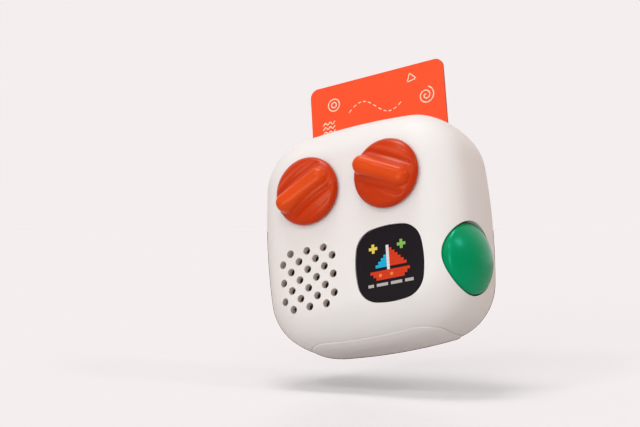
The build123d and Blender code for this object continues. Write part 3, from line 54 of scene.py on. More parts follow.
# Stage
BACKDROP = (0.905, 0.855, 0.855)
AMBIENT = (1.0, 0.77, 0.68)
AMBIENT_STRENGTH = 0.58
STUDIO_FRONT = 0.25          # mirrored light from the camera's side, as a share of the backdrop
STUDIO_FADE = (-0.2, 0.5)    # cosine to the line of sight, from that share to the whole
FLOOR_COLOUR = (0.58, 0.57, 0.57)
FLOOR_ROUGHNESS = 0.9
FLOOR_HALF = 2.0             # metres
FLOOR_SLOPE = 0.9            # degrees that the camera looks down on the floor
FLOOR_DROP = 51.6            # from the middle of the body to the floor
BODY_MIDDLE = (0.0, 0.0, 39.6)

# Lamps: direction along the camera's right, up and back, side in metres, watts
LAMP_COLOUR = (0.78, 0.93, 1.0)
LAMP_DISTANCE = 0.8          # metres from the middle of the body
LAMPS = {
    "key": ((-0.4, 0.12, 0.9), 0.4, 2.1),
    "high": ((0, 0.6, 0.8), 0.4, 0.7),
    "top": ((-0.15, 1, 0.0), 0.3, 2.1),
    "knob_glint": ((-0.5, 0.69, 0.5), 0.12, 0.6),
    "button_glint": ((0.65, 0.64, 0.41), 0.12, 0.5),
    "back": ((0.0, 0.12, -0.9), 0.16, 1.2),
}

# Knobs: slimmer than the frame's knobs and inside them
KNOB_RADIUS = 12.0
KNOB_TOP = 4.3
KNOB_RIM = 0.6
KNOB_FOOT = 0.5
KNOB_BASE_Y = -21.3
KNOB_X, KNOB_Z = 15.3, 54.3
KNOB_UNDERSIDE = (           # radius and height, from the foot to the end of the shaft's bore
    (10.2, 0), (10.2, 1.6), (5.2, 1.6), (5.2, 0), (3.03, 0), (3.03, 4.4), (0.0, 4.4)
)
KNOB_STEPS, KNOB_RINGS, FOOT_RINGS = 240, 120, 6
POINTERS = {"left": 210.0, "right": 154.0}
GRIP_HALF_WIDTH = 3.8
GRIP_TIP, GRIP_TAIL = 11.2, -10.4
GRIP_RISE, GRIP_FALL = 8.0, 5.0
GRIP_POWER = 2.8
GRIP_BLEND = 1.2
GRIP_REACH = 1.6             # how far the grip counts, in half widths
VALLEYS = ((5.4, 1.0, 0.75), (8.5, 1.2, 0.3))     # offset, width and depth beside the grip
VALLEY_MARGIN, VALLEY_FADE = 0.8, 2.0             # valleys end this far from the rim, over this
# Painted shading of the knobs: darker in the valleys and towards the rim, lighter on the grip
PAINTED_SHADING_BY_HEIGHT = ((-0.8, 0.0, 2.5), (0.3, 0.5, 1.0))      # height over the body, how light the red is painted
PAINTED_SHADING_BY_RADIUS = ((9.5, 12.0), (1.0, 0.4))

# Silicone dome under the play button: foot on the button's axis, and profile
DOME_FOOT = (27.8726, -4.6583, 24.4920)
BUTTON_AXIS = (0.97301, -0.22106, -0.06627)
DOME_PROFILE = (
    (0, 4.0), (4.3, 4.0), (5.3, 0.7), (6.0, 0.7), (6.0, 0), (4.6, 0), (3.6, 3.3), (0, 3.3)
)
DOME_EASE = 0.08
DOME_STEPS = 96

# Picture on the display: a sailing boat under two crosses, 16 by 16 lamps
PICTURE_SIDE = 16.8
TILE_THICK = 0.06
TILE_PROUD = 0.03
TILE_FILL = 0.97
PICTURE = (
    "................",
    "..y.........g...",
    ".yyy...w...ggg..",
    "..y....wr...g...",
    ".......wrr......",
    "......bwrrr.....",
    ".....bbwrrrr....",
    "....bbbwrrrrr...",
    "...bbbbwrrrrrr..",
    ".......w........",
    ".rrrrrrrrrrrrrr.",
    "..rrorrrorrrrr..",
    "...rrrrrrrrrr...",
    "................",
    "nn.nnnn.nnnn.nnn",
    "................",
)
PIXEL_COLOURS = {
    "r": (0.72, 0.045, 0.010), "b": (0.010, 0.45, 0.72), "g": (0.26, 0.52, 0.10),
    "y": (0.84, 0.66, 0.10), "w": (0.80, 0.76, 0.78), "o": (0.90, 0.25, 0.05),
    "n": (0.52, 0.47, 0.45),
}
BOX_FACES = ((0, 1, 3, 2), (4, 6, 7, 5), (0, 4, 5, 1), (2, 3, 7, 6), (0, 2, 6, 4), (1, 5, 7, 3))
BOX_CORNERS, BOX_LOOPS = 8, 24

# Print on the card: places across and up the card, sizes, and widths of line
INK_PROUD = 0.012
RING_CENTRE, RING_RADII, RING_LINE = (-17.5, 94.6), (2.3, 1.0), 0.45
WAVE_X, WAVE_LEVELS, WAVE_LINE = -20.0, (84.6, 86.3, 88.0), 0.42
WAVE_REACH, WAVE_HEIGHT = 2.6, 0.45
WAVE_BENDS = 2.6             # half waves on each side of the middle
DASHES, DASH_FILL, DASH_LINE = 11, 0.58, 0.36
DASH_START, DASH_LENGTH, DASH_HEIGHT = (-11.5, 90.2), 22.0, 3.0
TRIANGLE, TRIANGLE_LINE = ((12.6, 96.2), (16.2, 96.9), (13.8, 99.4)), 0.42
SPIRAL_CENTRE, SPIRAL_GROWTH, SPIRAL_LINE = (19.6, 89.6), 0.24, 0.45
SPIRAL_TURN = (0.4, 4.4)     # in half turns
RING_POINTS, WAVE_POINTS, DASH_POINTS, SIDE_POINTS, SPIRAL_POINTS = 49, 25, 9, 5, 73

# Moulded finish: scales of the noise, edges of the clouds' tones, depths in metres
CLOUD_SCALE, CLOUD_DETAIL, CLOUD_EDGES = 35.0, 3.0, (0.35, 0.65)
GRAIN_DETAIL, GRAIN_DEPTH = 2.0, 0.00003
ROUGHNESS_SPREAD = (0.88, 1.12)                   # least and most, as shares of the roughness
COAT_ROUGHNESS = 0.12
SOFT_DEPTH = 0.001

# Painted shade by place and slant
GRILLE_REACH = 13.5          # from the speaker's axis to beyond its outer bores
BORE_FACING = (0.3, 0.6)     # part of the normal along Y, from a bore's wall to the face
# colour of the painted shade on the walls of the grille's bores
BORE_PAINTED_SHADE = (0.80, 0.72, 0.66)
PAD_EDGE = (-0.75, -0.25)    # part of the normal along Z, from the underside to the wall
# colour of the painted shade on the wall round the pad
PAD_WALL_PAINTED_SHADE = (0.68, 0.63, 0.60)
MIX_FIRST, MIX_SECOND, MIX_RESULT = 6, 7, 2       # colour sockets of a mix node

PLAIN_FINISHES = {
    "grey_plastic": dict(colour=(0.27, 0.28, 0.29), shade=(0.24, 0.25, 0.26), roughness=0.5),
    "foam": dict(
        colour=(0.02, 0.02, 0.022), shade=(0.012, 0.012, 0.013), roughness=0.95, grain=700, bump=0.8
    ),
    "steel": dict(
        colour=(0.52, 0.52, 0.53), shade=(0.46, 0.46, 0.47), roughness=0.35, grain=1200, bump=0.1,
        metallic=1.0,
    ),
    "black_rubber": dict(
        colour=(0.015, 0.015, 0.015), shade=(0.010, 0.010, 0.010), roughness=0.7
    ),
    "paper_cone": dict(
        colour=(0.030, 0.028, 0.026), shade=(0.02, 0.019, 0.018), roughness=0.9, grain=500, bump=0.6
    ),
    "copper": dict(
        colour=(0.78, 0.32, 0.16), shade=(0.70, 0.27, 0.13), roughness=0.3, grain=1500, bump=0.1,
        metallic=1.0,
    ),
    "ferrite": dict(
        colour=(0.02, 0.02, 0.022), shade=(0.014, 0.014, 0.015), roughness=0.6, grain=600, bump=0.4
    ),
    "brass": dict(
        colour=(0.70, 0.48, 0.18), shade=(0.62, 0.42, 0.15), roughness=0.3, grain=1500, bump=0.1,
        metallic=1.0,
    ),
    "black_plastic": dict(
        colour=(0.012, 0.012, 0.013), shade=(0.008, 0.008, 0.009), roughness=0.55
    ),
    "tape": dict(colour=(0.012, 0.012, 0.012), shade=(0.008, 0.008, 0.008), roughness=0.8),
    "diffuser": dict(colour=(0.80, 0.80, 0.80), shade=(0.76, 0.76, 0.76), roughness=0.7),
    "board": dict(
        colour=(0.008, 0.09, 0.035), shade=(0.006, 0.07, 0.028), roughness=0.4, grain=400, bump=0.3,
        coat=0.3,
    ),
    "silicone": dict(colour=(0.60, 0.62, 0.62), shade=(0.56, 0.58, 0.58), roughness=0.6, soft=0.2),
    "chip": dict(
        colour=(0.010, 0.010, 0.011), shade=(0.007, 0.007, 0.008), roughness=0.6, grain=800,
        bump=0.3,
    ),
    "tin": dict(
        colour=(0.62, 0.63, 0.64), shade=(0.55, 0.56, 0.57), roughness=0.32, grain=900, bump=0.1,
        metallic=1.0,
    ),
    "pouch": dict(
        colour=(0.55, 0.56, 0.58), shade=(0.50, 0.51, 0.53), roughness=0.4, grain=300, bump=0.4,
        metallic=1.0,
    ),
    "ivory_plastic": dict(colour=(0.78, 0.70, 0.52), shade=(0.74, 0.66, 0.48), roughness=0.5),
    "lead": dict(colour=(0.35, 0.010, 0.008), shade=(0.30, 0.008, 0.006), roughness=0.5),
    "screw_steel": dict(
        colour=(0.50, 0.50, 0.51), shade=(0.42, 0.42, 0.43), roughness=0.3, grain=900, bump=0.1,
        metallic=1.0,
    ),
    "red_plastic": dict(
        colour=(0.78, 0.058, 0.004), shade=(0.75, 0.053, 0.003), roughness=0.33, grain=1600,
        bump=0.06, soft=0.05, mirror=(1.0, 0.5, 0.26),
    ),
    "green_plastic": dict(
        colour=(0.0, 0.30, 0.105), shade=(0.0, 0.285, 0.098), roughness=0.26, grain=1600,
        bump=0.05, specular=0.55, mirror=(0.12, 1.0, 0.95),
    ),
    "window": dict(
        colour=(0.018, 0.014, 0.017), shade=(0.015, 0.012, 0.014), roughness=0.2, grain=900,
        bump=0.02, specular=0.1,
    ),
}


# ---------------------------------------------------------------- mesh helpers

def ring_mesh(name, points):
    """Surface through a grid of points, rows by columns, whose last column joins
    the first. A first and last row that are one point each close it."""
    rows, columns = points.shape[:2]
    row, column = np.meshgrid(np.arange(rows - 1), np.arange(columns), indexing="ij")
    after = (column + 1) % columns
    corners = [row * columns + column, row * columns + after,
               (row + 1) * columns + after, (row + 1) * columns + column]
    faces = np.stack([corner.ravel() for corner in corners], axis=1)
    return solid_mesh(name, points.reshape(-1, 3), faces)


def solid_mesh(name, vertices, faces):
    """Mesh object from vertices in millimetres, with doubles merged and the
    normals turned outwards."""
    mesh = bpy.data.meshes.new(name)
    mesh.from_pydata((vertices * MM).tolist(), [], faces.tolist())
    work = bmesh.new()
    work.from_mesh(mesh)
    bmesh.ops.remove_doubles(work, verts=work.verts, dist=MERGE_DISTANCE)
    bmesh.ops.recalc_face_normals(work, faces=work.faces)
    work.to_mesh(mesh)
    work.free()
    mesh.polygons.foreach_set("use_smooth", np.ones(len(mesh.polygons), bool))
    piece = bpy.data.objects.new(name, mesh)
    bpy.context.scene.collection.objects.link(piece)
    return piece


def full_turn(steps):
    """Angles of one turn, without the one that would repeat the first."""
    return np.linspace(0, 2 * np.pi, steps + 1)[:-1]


# ---------------------------------------------------------------- node helpers

def new_material(name):
    """Material with its node tree and its principled shader."""
    material = bpy.data.materials.new(name)
    material.use_nodes = True
    tree = material.node_tree
    return material, tree, tree.nodes["Principled BSDF"]


def feed(tree, socket, value):
    """Links a socket to another one, or sets it to a constant."""
    if isinstance(value, bpy.types.NodeSocket):
        tree.links.new(value, socket)
    else:
        socket.default_value = value


def add(tree, kind, settings=(), **inputs):
    """New node with attributes and input values or links."""
    node = tree.nodes.new(kind)
    for key, value in dict(settings).items():
        setattr(node, key, value)
    for key, value in inputs.items():
        feed(tree, node.inputs[key.replace("_", " ")], value)
    return node


def operate(tree, operation, *operands, kind="ShaderNodeMath"):
    """Outputs of a node that works on its operands in order."""
    node = add(tree, kind, {"operation": operation})
    for socket, value in zip(node.inputs, operands):
        feed(tree, socket, value)
    return node.outputs


def ramp(tree, factor, low, high, positions=(0.0, 1.0)):
    """Colour between two colours by a factor."""
    node = add(tree, "ShaderNodeValToRGB", Fac=factor)
    for element, position, colour in zip(node.color_ramp.elements, positions, (low, high)):
        element.position = position
        element.color = (*colour, 1)
    return node.outputs["Color"]


def remap(tree, value, source, target):
    """Value moved from one range to another and kept inside it."""
    node = add(tree, "ShaderNodeMapRange", Value=value)
    names = ("From Min", "From Max", "To Min", "To Max")
    for name, bound in zip(names, (*source, *target)):
        node.inputs[name].default_value = bound
    return node.outputs["Result"]


def emboss(tree, shader, height, strength, depth):
    """Relief in the shader's normal, with its depth in metres."""
    bump = add(tree, "ShaderNodeBump", Height=height, Strength=strength, Distance=depth)
    tree.links.new(bump.outputs["Normal"], shader.inputs["Normal"])


def object_place(tree):
    """Place on the object."""
    return add(tree, "ShaderNodeTexCoord").outputs["Object"]


def slant(tree, axis):
    """Part of the surface's normal along an axis."""
    normal = add(tree, "ShaderNodeNewGeometry").outputs["Normal"]
    return add(tree, "ShaderNodeSeparateXYZ", Vector=normal).outputs[axis]


def mix_in_painted_shade(material, share, colour):
    """Mixes a colour of painted shade into the finish by a share from a socket."""
    tree = material.node_tree
    base = tree.nodes["Principled BSDF"].inputs["Base Color"]
    mix = add(tree, "ShaderNodeMix", {"data_type": "RGBA"}, Factor=share)
    tree.links.new(base.links[0].from_socket, mix.inputs[MIX_FIRST])
    mix.inputs[MIX_SECOND].default_value = (*colour, 1)
    tree.links.new(mix.outputs[MIX_RESULT], base)


# ---------------------------------------------------------------- materials

def moulded(name, colour, shade, roughness, grain=900.0, bump=0.15, metallic=0.0, coat=0.0,
            soft=0.0, specular=0.5, mirror=(1, 1, 1)):
    """Moulded or rolled finish: two close colours in large soft clouds, fine
    grain in the relief, and a roughness that varies a little."""
    material, tree, shader = new_material(name)
    place = object_place(tree)
    clouds = add(tree, "ShaderNodeTexNoise", Vector=place, Scale=CLOUD_SCALE, Detail=CLOUD_DETAIL)
    base = ramp(tree, clouds.outputs["Fac"], shade, colour, positions=CLOUD_EDGES)
    tree.links.new(base, shader.inputs["Base Color"])
    noise = add(tree, "ShaderNodeTexNoise", Vector=place, Scale=grain, Detail=GRAIN_DETAIL)
    fine = noise.outputs["Fac"]
    least, most = (roughness * share for share in ROUGHNESS_SPREAD)
    spread = remap(tree, fine, (0.0, 1.0), (least, min(1.0, most)))
    tree.links.new(spread, shader.inputs["Roughness"])
    emboss(tree, shader, fine, strength=bump, depth=GRAIN_DEPTH)
    shader.inputs["Metallic"].default_value = metallic
    if coat:
        shader.inputs["Coat Weight"].default_value = coat
        shader.inputs["Coat Roughness"].default_value = COAT_ROUGHNESS
    shader.inputs["Specular IOR Level"].default_value = specular
    shader.inputs["Specular Tint"].default_value = (*mirror, 1)
    if soft:
        shader.inputs["Subsurface Weight"].default_value = soft
        shader.inputs["Subsurface Scale"].default_value = SOFT_DEPTH
    return material


def knob_plastic():
    """Glossy red plastic with painted shading: a shaded and a lit copy of the red,
    mixed by the painted shading attribute, darker in the valleys and at the rim
    and lighter on the grip. The moulded finish gives small random changes of
    colour in clouds."""
    material = moulded(
        "knob_plastic", colour=(0.05, 0.05, 0.05), shade=(0.0, 0.0, 0.0), roughness=0.3,
        grain=1600, bump=0.05, specular=0.4, mirror=(1.0, 0.6, 0.4),
    )
    tree = material.node_tree
    base = tree.nodes["Principled BSDF"].inputs["Base Color"]
    # painted shading: how light the red is painted at each point
    painted_shading = add(tree, "ShaderNodeAttribute", {"attribute_name": "painted_shading"}).outputs["Fac"]
    total = operate(tree, "ADD", painted_shading, base.links[0].from_socket)["Value"]
    # a shaded and a lit copy of the red, mixed by the painted shading
    tree.links.new(ramp(tree, total, low=(0.46, 0.016, 0.0005), high=(0.76, 0.066, 0.004)), base)
    return material


def shell_plastic():
    """Warm white satin plastic with painted shade on the walls of the grille's
    bores: a little darker where the face lies along Y and near the speaker's axis."""
    material = moulded(
        "shell", colour=(0.86, 0.82, 0.79), shade=(0.84, 0.80, 0.77), roughness=0.42,
        grain=1400, bump=0.10, specular=0.2,
    )
    tree = material.node_tree
    along_y = operate(tree, "ABSOLUTE", slant(tree, "Y"))["Value"]
    wall = remap(tree, along_y, BORE_FACING, (1.0, 0.0))
    low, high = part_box("speaker_mesh")
    axis = [(a + b) / 2 for a, b in zip(low, high)]
    vectors = dict(kind="ShaderNodeVectorMath")
    flat = operate(tree, "MULTIPLY", object_place(tree), (1.0, 0.0, 1.0), **vectors)["Vector"]
    away = operate(tree, "DISTANCE", flat, (axis[0], 0.0, axis[2]), **vectors)["Value"]
    near = operate(tree, "LESS_THAN", away, GRILLE_REACH * MM)["Value"]
    # painted shade on the bores' walls
    mix_in_painted_shade(material, operate(tree, "MULTIPLY", wall, near)["Value"], BORE_PAINTED_SHADE)
    return material


def rubber_pad():
    """Soft pad in the shell's colour, with painted shade on the wall round it."""
    material = moulded(
        "pad", colour=(0.88, 0.84, 0.81), shade=(0.86, 0.82, 0.79), roughness=0.6,
        grain=1600, bump=0.2, specular=0.2,
    )
    tree = material.node_tree
    # painted shade on the pad's wall
    mix_in_painted_shade(material, remap(tree, slant(tree, "Z"), PAD_EDGE, (0.0, 1.0)), PAD_WALL_PAINTED_SHADE)
    return material


def speaker_cloth():
    """Dark woven mesh: two crossed bands of fine waves."""
    material, tree, shader = new_material("speaker_cloth")
    place = object_place(tree)
    bands = [
        add(tree, "ShaderNodeTexWave", {"bands_direction": axis}, Vector=place, Scale=900.0)
        for axis in ("X", "Z")
    ]
    weave = operate(tree, "MULTIPLY", *(band.outputs["Fac"] for band in bands))["Value"]
    base = ramp(tree, weave, low=(0.03, 0.026, 0.022), high=(0.14, 0.12, 0.10))
    tree.links.new(base, shader.inputs["Base Color"])
    emboss(tree, shader, weave, strength=0.6, depth=0.0001)
    shader.inputs["Roughness"].default_value = 0.85
    return material


def card_board():
    """Smooth printed card: orange-red faces, darker cut edges."""
    material, tree, shader = new_material("card_board")
    place = object_place(tree)
    clouds = add(tree, "ShaderNodeTexNoise", Vector=place, Scale=60.0, Detail=2.0)
    tones = dict(low=(0.93, 0.086, 0.024), high=(0.98, 0.094, 0.028))
    face = ramp(tree, clouds.outputs["Fac"], **tones)
    along_y = operate(tree, "ABSOLUTE", slant(tree, "Y"))["Value"]
    mix = add(tree, "ShaderNodeMix", {"data_type": "RGBA"}, Factor=along_y)
    mix.inputs[MIX_FIRST].default_value = (0.55, 0.035, 0.018, 1)
    tree.links.new(face, mix.inputs[MIX_SECOND])
    tree.links.new(mix.outputs[MIX_RESULT], shader.inputs["Base Color"])
    fine = add(tree, "ShaderNodeTexNoise", Vector=place, Scale=2500.0)
    emboss(tree, shader, fine.outputs["Fac"], strength=0.08, depth=0.00002)
    shader.inputs["Roughness"].default_value = 0.42
    shader.inputs["Specular IOR Level"].default_value = 0.15
    return material


def picture_light():
    """Lit pixels: the colour comes from the tiles' own attribute."""
    material, tree, shader = new_material("picture_light")
    colour = add(tree, "ShaderNodeAttribute", {"attribute_name": "pixel"}).outputs["Color"]
    tree.links.new(colour, shader.inputs["Emission Color"])
    shader.inputs["Emission Strength"].default_value = 0.92
    shader.inputs["Base Color"].default_value = (0.01, 0.01, 0.01, 1)
    shader.inputs["Roughness"].default_value = 0.3
    shader.inputs["Specular IOR Level"].default_value = 0.0
    return material


OWN_FINISHES = {
    "shell": shell_plastic,
    "pad": rubber_pad,
    "mesh": speaker_cloth,
    "card": card_board,
}


def dress_frame(frame):
    """Gives every node of the frame the finish of its slot."""
    made = {}
    for entry in frame["record"]["subparts"]:
        slot = entry["material_slot"]
        if slot not in made:
            own = OWN_FINISHES.get(slot)
            made[slot] = own() if own else moulded(slot, **PLAIN_FINISHES[slot])
        mesh = frame["nodes"][entry["node"]].data
        mesh.materials.clear()
        mesh.materials.append(made[slot])
    return made


# ---------------------------------------------------------------- knobs

def smooth_max(a, b, reach):
    """The larger of a and b, and (1 - |a - b| / reach)^2 reach / 4 more where they
    differ by less than reach."""
    near = np.clip(1 - np.abs(a - b) / reach, 0, 1)
    return np.maximum(a, b) + near ** 2 * reach / 4


def knob_piece(side):
    """Knob as one closed skin over radius and angle.

    The body is a quarter ellipse of radius and height, thin at its rim. Two
    valleys each side, bell curves of the distance across, run beside the grip.
    The grip is a rounded ridge over a straight spine that climbs from tail to
    tip: its height is rise(x) (1 - (d / w)^p)^(1/p) with d the distance from the
    spine. Ridge and body meet in a smooth maximum."""
    angle = full_turn(KNOB_STEPS)
    bend = np.linspace(0, np.pi / 2, KNOB_RINGS)
    radius = KNOB_RADIUS * np.sin(bend)
    height = KNOB_RIM + (KNOB_TOP - KNOB_RIM) * np.cos(bend)
    r, a = np.meshgrid(radius, angle, indexing="ij")
    x, y = r * np.cos(a), r * np.sin(a)
    inside = np.clip((KNOB_RADIUS - VALLEY_MARGIN - r) / VALLEY_FADE, 0, 1)
    disc = height[:, None] + 0 * r
    for offset, width, depth in VALLEYS:
        valley = depth * np.exp(-((np.abs(y) - offset) / width) ** 2)
        disc = disc - valley * inside ** 2 * (3 - 2 * inside)
    start, end = GRIP_TAIL + GRIP_HALF_WIDTH, GRIP_TIP - GRIP_HALF_WIDTH
    away = np.hypot(x - np.clip(x, start, end), y) / GRIP_HALF_WIDTH
    along = (np.clip(x, GRIP_TAIL, GRIP_TIP) - GRIP_TAIL) / (GRIP_TIP - GRIP_TAIL)
    rise = GRIP_FALL + (GRIP_RISE - GRIP_FALL) * along
    ridge = rise * np.clip(1 - away ** GRIP_POWER, 0, 1) ** (1 / GRIP_POWER)
    top = smooth_max(disc, ridge, GRIP_BLEND)
    top = np.where(away < GRIP_REACH, top, disc)

    foot = np.linspace(0, np.pi / 2, FOOT_RINGS)
    under_r, under_h = np.array(KNOB_UNDERSIDE, float).T
    under_r = np.concatenate([KNOB_RADIUS - KNOB_FOOT + KNOB_FOOT * np.cos(foot), under_r])
    under_h = np.concatenate([KNOB_FOOT - KNOB_FOOT * np.sin(foot), under_h])
    low_r, low_a = np.meshgrid(under_r, angle, indexing="ij")
    x = np.vstack([x, low_r * np.cos(low_a)])
    y = np.vstack([y, low_r * np.sin(low_a)])
    h = np.vstack([top, np.repeat(under_h[:, None], len(angle), axis=1)])

    turn = np.radians(POINTERS[side])
    centre_x = -KNOB_X if side == "left" else KNOB_X
    points = np.stack([
        centre_x + x * np.cos(turn) - y * np.sin(turn),
        KNOB_BASE_Y - h,
        KNOB_Z + x * np.sin(turn) + y * np.cos(turn),
    ], axis=-1)
    knob = ring_mesh(side + "_knob_skin", points)
    paint_knob(knob, centre_x)
    return knob


def paint_knob(knob, centre_x):
    """Writes the knob's painted shading, how light the red is painted: low where
    shade would fall in the valleys and at the rim and 1 on the grip, from each
    vertex's height and its distance to the axis."""
    place = np.empty(len(knob.data.vertices) * 3)
    knob.data.vertices.foreach_get("co", place)
    x, y, z = place.reshape(-1, 3).T / MM
    height = KNOB_BASE_Y - y
    radius = np.hypot(x - centre_x, z - KNOB_Z)
    share = np.sqrt(np.clip(1 - (radius / KNOB_RADIUS) ** 2, 0, 1))
    above = height - KNOB_RIM - (KNOB_TOP - KNOB_RIM) * share
    # painted shading from the height over the body, lower towards the rim
    painted_shading = np.interp(above, *PAINTED_SHADING_BY_HEIGHT)
    painted_shading *= np.interp(radius, *PAINTED_SHADING_BY_RADIUS)
    knob.data.attributes.new("painted_shading", "FLOAT", "POINT").data.foreach_set("value", painted_shading)


# ---------------------------------------------------------------- silicone dome

def dome_piece():
    """Dome as one closed skin: a profile of radius and height with eased corners,
    turned about the button's axis. A point is foot + height axis +
    radius (cos(a) across + sin(a) aside) over the angle a."""
    corners = np.array(DOME_PROFILE, float)
    eased = []
    for neighbour in (corners[:-2], corners[2:]):
        step = neighbour - corners[1:-1]
        eased.append(corners[1:-1] + DOME_EASE * step / np.linalg.norm(step, axis=1)[:, None])
    middle = np.stack(eased, axis=1).reshape(-1, 2)
    radius, height = np.vstack([corners[:1], middle, corners[-1:]]).T[:, :, None, None]
    angle = full_turn(DOME_STEPS)[None, :, None]
    axis = np.array(Vector(BUTTON_AXIS).normalized())
    across = np.cross(axis, (0, 0, 1))
    across /= np.linalg.norm(across)
    aside = np.cross(axis, across)
    ring = np.cos(angle) * across + np.sin(angle) * aside
    return ring_mesh("button_dome_skin", np.array(DOME_FOOT) + height * axis + radius * ring)


# ---------------------------------------------------------------- picture and print

def pixel_tiles(name, rows, side_mm):
    """Lit squares of the picture, one thin closed box per letter of the rows.

    Corner (i, j, k) of a box is its centre plus side/2 (i, k) across and up and
    half the thickness j in depth, with i, j, k = -1 or 1."""
    window = np.array(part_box("display_window")) / MM
    front_y = window[0][1]
    middle_x, middle_z = (window[0][0] + window[1][0]) / 2, (window[0][2] + window[1][2]) / 2
    letters = np.array([list(row) for row in rows])
    up, across = np.nonzero(letters != ".")
    pitch = side_mm / len(rows)
    centre = np.stack([
        middle_x + (across + 0.5) * pitch - side_mm / 2,
        np.full(len(up), front_y + TILE_THICK / 2 - TILE_PROUD),
        middle_z + side_mm / 2 - (up + 0.5) * pitch,
    ], axis=1)
    corner = np.array([(i, j, k) for i in (-1, 1) for j in (-1, 1) for k in (-1, 1)])
    half = np.array([pitch * TILE_FILL, TILE_THICK, pitch * TILE_FILL]) / 2
    vertices = (centre[:, None, :] + corner[None] * half).reshape(-1, 3)
    first = np.arange(len(up))[:, None, None] * BOX_CORNERS
    faces = (first + np.array(BOX_FACES)[None]).reshape(-1, 4)
    piece = solid_mesh(name, vertices, faces)
    piece.data.polygons.foreach_set("use_smooth", np.zeros(len(faces), bool))
    colours = np.array([(*PIXEL_COLOURS[letter], 1.0) for letter in letters[up, across]])
    layer = piece.data.color_attributes.new("pixel", "FLOAT_COLOR", "CORNER")
    loop_tiles = np.repeat(np.arange(len(up)), BOX_LOOPS)
    layer.data.foreach_set("color", colours[loop_tiles].ravel())
    return piece


def stroke(name, line, width):
    """Printed line on the front of the card: a thin closed ribbon along points
    (x, z). Its section is a flat rectangle, and each end shrinks to a point."""
    card = np.array(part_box("story_card")) / MM
    line = np.asarray(line, float)
    along = np.gradient(line, axis=0)
    along /= np.linalg.norm(along, axis=1)[:, None]
    side = np.stack([-along[:, 1], along[:, 0]], axis=1) * width / 2
    front, rear = card[0][1] - INK_PROUD, card[0][1] + INK_PROUD
    rows = []
    for edge, depth in ((side, front), (side, rear), (-side, rear), (-side, front)):
        flat = line + edge
        rows.append(np.stack([flat[:, 0], np.full(len(line), depth), flat[:, 1]], axis=1))
    points = np.stack(rows, axis=1)
    first = np.repeat(points[:1].mean(axis=1, keepdims=True), len(rows), axis=1)
    last = np.repeat(points[-1:].mean(axis=1, keepdims=True), len(rows), axis=1)
    return ring_mesh(name, np.concatenate([first, points, last]))


def card_print():
    """Generic line art on the card: two rings, one inside the other, stacked
    waves, a dashed sine line, a triangle and a spiral."""
    turn = np.linspace(0, 2 * np.pi, RING_POINTS)
    x = np.linspace(-1, 1, WAVE_POINTS)
    lines = []
    for radius in RING_RADII:
        ring = np.stack([np.cos(turn), np.sin(turn)], axis=1)
        lines.append((np.array(RING_CENTRE) + radius * ring, RING_LINE))
    for level in WAVE_LEVELS:
        wave = level + WAVE_HEIGHT * np.sin(WAVE_BENDS * np.pi * x)
        lines.append((np.stack([WAVE_X + WAVE_REACH * x, wave], axis=1), WAVE_LINE))
    for dash in range(DASHES):
        share = (dash + np.linspace(0.0, DASH_FILL, DASH_POINTS)) / DASHES
        across = DASH_START[0] + DASH_LENGTH * share
        up = DASH_START[1] + DASH_HEIGHT * np.sin(2 * np.pi * share)
        lines.append((np.stack([across, up], axis=1), DASH_LINE))
    corner = np.array(TRIANGLE)
    share = np.linspace(0, 1, SIDE_POINTS)[:, None]
    for start, end in zip(corner, np.roll(corner, -1, axis=0)):
        lines.append((start + share * (end - start), TRIANGLE_LINE))
    swirl = np.linspace(SPIRAL_TURN[0] * np.pi, SPIRAL_TURN[1] * np.pi, SPIRAL_POINTS)
    radius = SPIRAL_GROWTH * swirl
    across = SPIRAL_CENTRE[0] + radius * np.cos(swirl)
    up = SPIRAL_CENTRE[1] + radius * np.sin(swirl)
    lines.append((np.stack([across, up], axis=1), SPIRAL_LINE))
    return lines


# ---------------------------------------------------------------- stage

def floor_normal():
    """Direction of the stage floor: the camera's up, leaned towards the camera."""
    back = Vector(CAMERA_BACK)
    up = back.cross(Vector(CAMERA_RIGHT))
    slope = np.radians(FLOOR_SLOPE)
    return (up * np.cos(slope) + back * np.sin(slope)).normalized()


def make_camera():
    """Camera at the place and turn that show the player from low on its right."""
    right, back = Vector(CAMERA_RIGHT).normalized(), Vector(CAMERA_BACK).normalized()
    up = back.cross(right).normalized()
    back = right.cross(up)
    data = bpy.data.cameras.new("camera")
    data.lens = LENS
    data.sensor_width = SENSOR_WIDTH
    camera = bpy.data.objects.new("camera", data)
    turn = Matrix((right, up, back)).transposed().to_4x4()
    camera.matrix_world = Matrix.Translation(Vector(CAMERA_PLACE) * MM) @ turn
    bpy.context.scene.collection.objects.link(camera)
    bpy.context.scene.camera = camera


def make_floor():
    """Pale floor that shows nothing but the player's shadow."""
    normal = floor_normal()
    centre = Vector(BODY_MIDDLE) - normal * FLOOR_DROP
    mesh = bpy.data.meshes.new("floor")
    half = FLOOR_HALF
    corners = [(-half, -half, 0), (half, -half, 0), (half, half, 0), (-half, half, 0)]
    turn = normal.to_track_quat("Z", "Y").to_matrix().to_4x4()
    place = Matrix.Translation(centre * MM) @ turn
    mesh.from_pydata([place @ Vector(corner) for corner in corners], [], [(0, 1, 2, 3)])
    floor = bpy.data.objects.new("floor", mesh)
    bpy.context.scene.collection.objects.link(floor)
    material, _, shader = new_material("floor")
    shader.inputs["Base Color"].default_value = (*FLOOR_COLOUR, 1)
    shader.inputs["Roughness"].default_value = FLOOR_ROUGHNESS
    mesh.materials.append(material)
    floor.is_shadow_catcher = True


